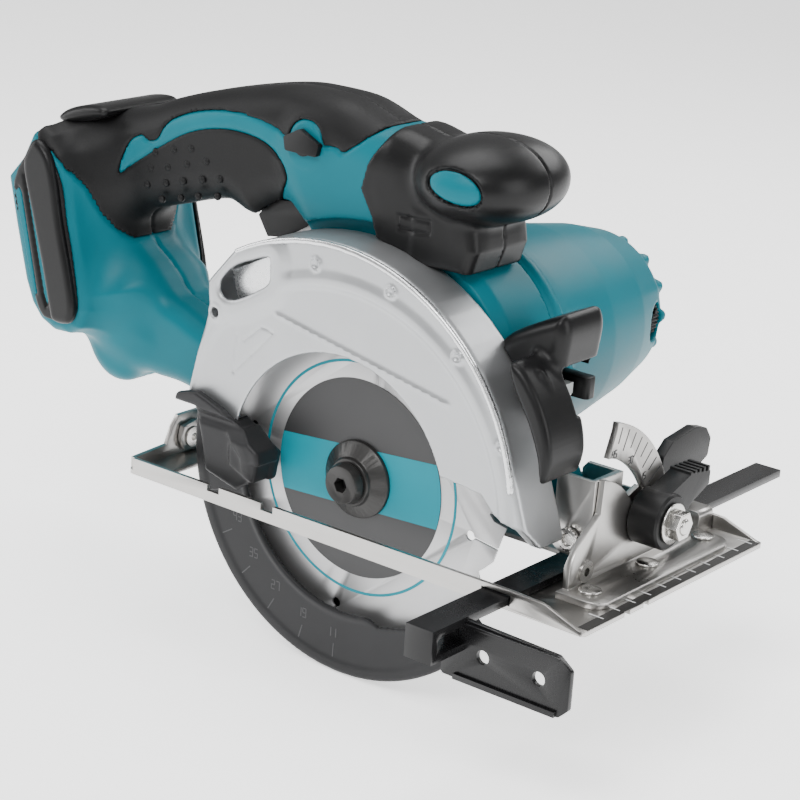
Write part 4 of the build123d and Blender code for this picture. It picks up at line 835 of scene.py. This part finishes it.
# room for the lip of the base at every tilt
lip_room = distance_2d(g.y, g.z, [(-64, 3), (-64, 43.4), (-50.5, 29.9), (-50.5, 28.2), (-52.5, 25.6),
                                  (-54.5, 22.5), (-56.2, 18), (-57.5, 12), (-57.9, 3)])
guard = cut(guard, lip_room)
dress(skin("guard_lower", g, guard), guard_dark, "lower_guard", "dark_guard", "lower_guard")


# ---------------------------------------------------------------- marks
def strokes(name, lines, width, face, plane):
    """Thin printed strokes on a face. Each line is a pair of points of the plane."""
    bm = bmesh.new()
    for a, b in lines:
        du, dv = b[0] - a[0], b[1] - a[1]
        size = math.hypot(du, dv)
        nu, nv = -dv / size * width / 2, du / size * width / 2
        corners = [(a[0] + nu, a[1] + nv), (b[0] + nu, b[1] + nv),
                   (b[0] - nu, b[1] - nv), (a[0] - nu, a[1] - nv)]
        rings = [[bm.verts.new(placed(plane, corner, depth)) for corner in corners]
                 for depth in (face - INK / 2, face + INK / 2)]
        bm.faces.new(rings[0])
        bm.faces.new(rings[1][::-1])
        for i in range(4):
            bm.faces.new((rings[0][i - 1], rings[0][i], rings[1][i], rings[1][i - 1]))
    return solid(name, bm)


# the strokes of each figure, and where each stroke runs in a figure 1 wide and 2 high
DIGITS = {"0": "abcdef", "1": "bc", "2": "abged", "3": "abgcd", "4": "fgbc", "5": "afgcd", "6": "afgecd",
          "7": "abc", "8": "abcdefg", "9": "abfgcd"}
BARS = {"a": ((0, 2), (1, 2)), "b": ((1, 2), (1, 1)), "c": ((1, 1), (1, 0)), "d": ((0, 0), (1, 0)),
        "e": ((0, 1), (0, 0)), "f": ((0, 2), (0, 1)), "g": ((0, 1), (1, 1))}


def number(text, place, height):
    """Strokes of a plain number, as pairs of points: place is its lower left corner."""
    lines = []
    for n, digit in enumerate(text):
        for bar in DIGITS[digit]:
            ends = [((u + 1.5 * n) * height * 0.45, v * height * 0.5) for u, v in BARS[bar]]
            lines.append(tuple((place[0] + u, place[1] + v) for u, v in ends))
    return lines


ticks = []
for n, turn in enumerate((198, 212, 226, 240, 254, 268)):
    ticks.append((spoke(SPIN, 66, turn), spoke(SPIN, 72.5, turn)))
    ticks += number(str(51 - 8 * n), spoke(SPIN, 63.5, turn - 3), 3.6)
depth_marks = strokes("depth_ticks", ticks, 0.45, -40.0, "xz")
dress(depth_marks, panel_grey, "lower_guard", "dark_guard")
quadrant_marks = []
for n in range(11):
    turn = 22 + 5.6 * n
    reach = 46.5 if n % 2 else 44.5
    quadrant_marks.append((spoke(BEVEL, reach, turn), spoke(BEVEL, 52.5, turn)))
for figure, turn in (("45", 75), ("30", 58), ("15", 40)):
    quadrant_marks += number(figure, spoke(BEVEL, 41, turn), 2.6)
dress(strokes("bevel_ticks", quadrant_marks, 0.4, 99.05, "yz"), ink_black, "shoe", "sheet_steel")
rule_marks = []
for n in range(1, 12):
    y = -55 + 10 * n
    rule_marks.append(((112.8 if n % 2 else 114.3, y), (119, y)))
dress(strokes("front_ticks", rule_marks, 0.5, 1.98, "xy"), ink_white, "shoe", "sheet_steel")
scale_strip = extruded("front_scale", [(116.6, -57), (120.6, -57), (120.6, 58), (116.6, 58)], 1.78, 1.95,
                       "xy")
dress(scale_strip, dark_steel, "shoe", "sheet_steel")


# ---------------------------------------------------------------- hood over the lamp and the spindle lock
g = Grid((52, -48.5, 39.5), (95, 0, 100), 0.62)
hood = slab(g, smooth([(54, 78), (57, 85), (66, 91), (76, 96), (80.5, 97.3), (83, 92), (82.5, 84), (80.4, 73),
                       (75, 59), (68, 51), (60, 52)], 5), -30, -2.8, 5)
shield = slab(g, smooth([(90.6, 44), (92.4, 52), (90.4, 62), (85.5, 72), (78, 81), (72.5, 83), (74, 76),
                         (82, 63), (86.8, 52), (88.4, 44)], 5), -47.6, -24, 2.6)
hood = join(hood, shield, 4)
ridge = capsule(g, (89, -33, 52), (79.5, -38, 79), 1.2)
hood = join(hood, ridge, 2.5)
# room for the motor, the guard, the lamp and its lens
hood = cut(hood, away(g, MOTOR) - 44.9)
guard_outline = plan(g, scroll(0.35, 21, 124) + [(-66, 82), (0, 17), (88.9, 16), (88.9, 45.5)])
hood = cut(hood, np.maximum(guard_outline, g.y + 24.4))
hollow = slab(g, [(61, 64), (74, 63), (90, 63), (90, 78.5), (72, 79.5), (63, 76)], -27.5, -3.5, 1.5)
hood = cut(hood, hollow, 0.8)
hood = cut(hood, slab(g, [(58, 58), (92, 58), (92, 74.5), (58, 74.5)], -12.4, 1))
lens_room = slab(g, [(66, 56), (80, 67), (80, 71), (72, 71), (64, 58)], -20.5, -12.5)
hood = cut(hood, lens_room)
dress(skin("hood", g, hood), smooth_rubber, "saw", "black_plastic", "front_cover")


# ---------------------------------------------------------------- finishes of the CAD nodes
def paint(node, material):
    """A CAD node keeps its mesh and gets this finish."""
    slots = frame["nodes"][node].data.materials
    for i in range(len(slots)):
        slots[i] = material


BY_SLOT = {"teal_plastic": teal, "black_rubber": rubber, "black_plastic": black_plastic, "cast_metal": cast,
           "sheet_steel": zinc, "bare_steel": zinc_bright, "blade_steel": blade_steel,
           "dark_guard": guard_dark, "black_steel": gloss_black, "black_oxide": dark_steel,
           "copper_winding": copper, "lens_plastic": lens}
for entry in frame["record"]["subparts"]:
    paint(entry["node"], BY_SLOT[entry["material_slot"]])


# ---------------------------------------------------------------- broken edges on pressed and turned metal
# node: width of the broken edge in mm, its segments, and the finish
SOFT = {"base_plate": (0.35, 2, zinc), "front_carrier": (0.4, 2, zinc),
        "front_bevel_bracket": (0.4, 2, zinc), "depth_guide": (0.3, 2, zinc),
        "guide_clamp_block": (0.3, 2, zinc), "guide_rule": (0.25, 2, gloss_black),
        "bracket_rivets": (0.3, 2, zinc_bright), "depth_pivot_pin": (0.3, 2, zinc_bright),
        "bevel_bolt": (0.2, 2, zinc_bright), "bevel_washer": (0.15, 2, zinc_bright),
        "bevel_nut": (0.25, 2, zinc_bright), "depth_bolt": (0.2, 2, zinc_bright),
        "bevel_lock_lever": (0.5, 3, black_plastic),
        "depth_lock_lever": (0.5, 3, black_plastic), "guide_clamp_screw": (0.4, 3, black_plastic),
        "knurled_plug": (0.15, 1, zinc_bright), "shaft_lock": (0.4, 2, black_plastic),
        "lock_off_button": (0.3, 2, black_plastic), "trigger": (0.6, 3, black_plastic)}
for entry in frame["record"]["subparts"]:
    node = entry["node"]
    if node in SOFT:
        width, segments, material = SOFT[node]
        piece = softened(node, node + "_pressed", width, segments)
        dress(piece, material, body_of(frame["nodes"][node])[0], entry["material_slot"], node)


# ---------------------------------------------------------------- camera, lights, floor
AZIMUTH, ELEVATION, ROLL = math.radians(37.17), math.radians(18.41), math.radians(3.85)
DISTANCE = 0.8778
back = Vector((math.sin(AZIMUTH) * math.cos(ELEVATION), -math.cos(AZIMUTH) * math.cos(ELEVATION),
               math.sin(ELEVATION)))
level = Vector((0, 0, 1)).cross(back).normalized()
raised = back.cross(level)
right = math.cos(ROLL) * level + math.sin(ROLL) * raised
upward = back.cross(right)
AIM = Vector((0.00459, -0.01759, 0.04557))
camera = bpy.data.objects.new("camera", bpy.data.cameras.new("camera"))
bpy.context.collection.objects.link(camera)
camera.data.lens = 105.85
camera.data.sensor_width = 36
facing = Matrix((right, upward, back)).transposed().to_4x4()
camera.matrix_world = Matrix.Translation(AIM + back * DISTANCE) @ facing
bpy.context.scene.camera = camera


def area_light(name, place, aim, size, power):
    """Soft rectangular lamp turned towards a point."""
    lamp = bpy.data.objects.new(name, bpy.data.lights.new(name, "AREA"))
    bpy.context.collection.objects.link(lamp)
    lamp.data.shape = "RECTANGLE"
    lamp.data.size, lamp.data.size_y = size
    lamp.data.energy = power
    lamp.location = place
    lamp.rotation_euler = (Vector(place) - Vector(aim)).to_track_quat("Z", "Y").to_euler()


area_light("key", (0.25, -0.85, 0.95), (0, 0, 0.05), (0.7, 0.5), 12)
area_light("overhead", (-0.25, 0.1, 1.2), (0, 0, 0.05), (0.9, 0.9), 13)
area_light("left_strip", (-0.95, -0.45, 0.45), (0, 0, 0.05), (0.25, 0.9), 5)
area_light("right_fill", (1.0, 0.05, 0.4), (0, 0, 0.05), (0.5, 0.7), 4.5)
area_light("back_rim", (0.1, 1.0, 0.7), (0, 0, 0.08), (0.8, 0.4), 6)

FLOOR_Z = cad_box[0][2] - 0.0005
FLOOR_R = 8
bm = bmesh.new()
turns = [a * math.pi / 24 for a in range(48)]
bm.faces.new([bm.verts.new((FLOOR_R * math.cos(a), FLOOR_R * math.sin(a), FLOOR_Z)) for a in turns])
floor = solid("studio_floor", bm)
pale = finish("pale_floor", (0.97, 0.97, 0.97), 0.8, grain=0.01, grain_scale=60, tint=0.01)
pale.node_tree.nodes["Principled BSDF"].inputs["Emission Color"].default_value = (1, 1, 1, 1)
pale.node_tree.nodes["Principled BSDF"].inputs["Emission Strength"].default_value = 1.2
floor.data.materials.append(pale)
world = bpy.data.worlds.new("studio")
bpy.context.scene.world = world
world.use_nodes = True
world.node_tree.nodes["Background"].inputs["Color"].default_value = (1, 1, 1, 1)
world.node_tree.nodes["Background"].inputs["Strength"].default_value = 0.38
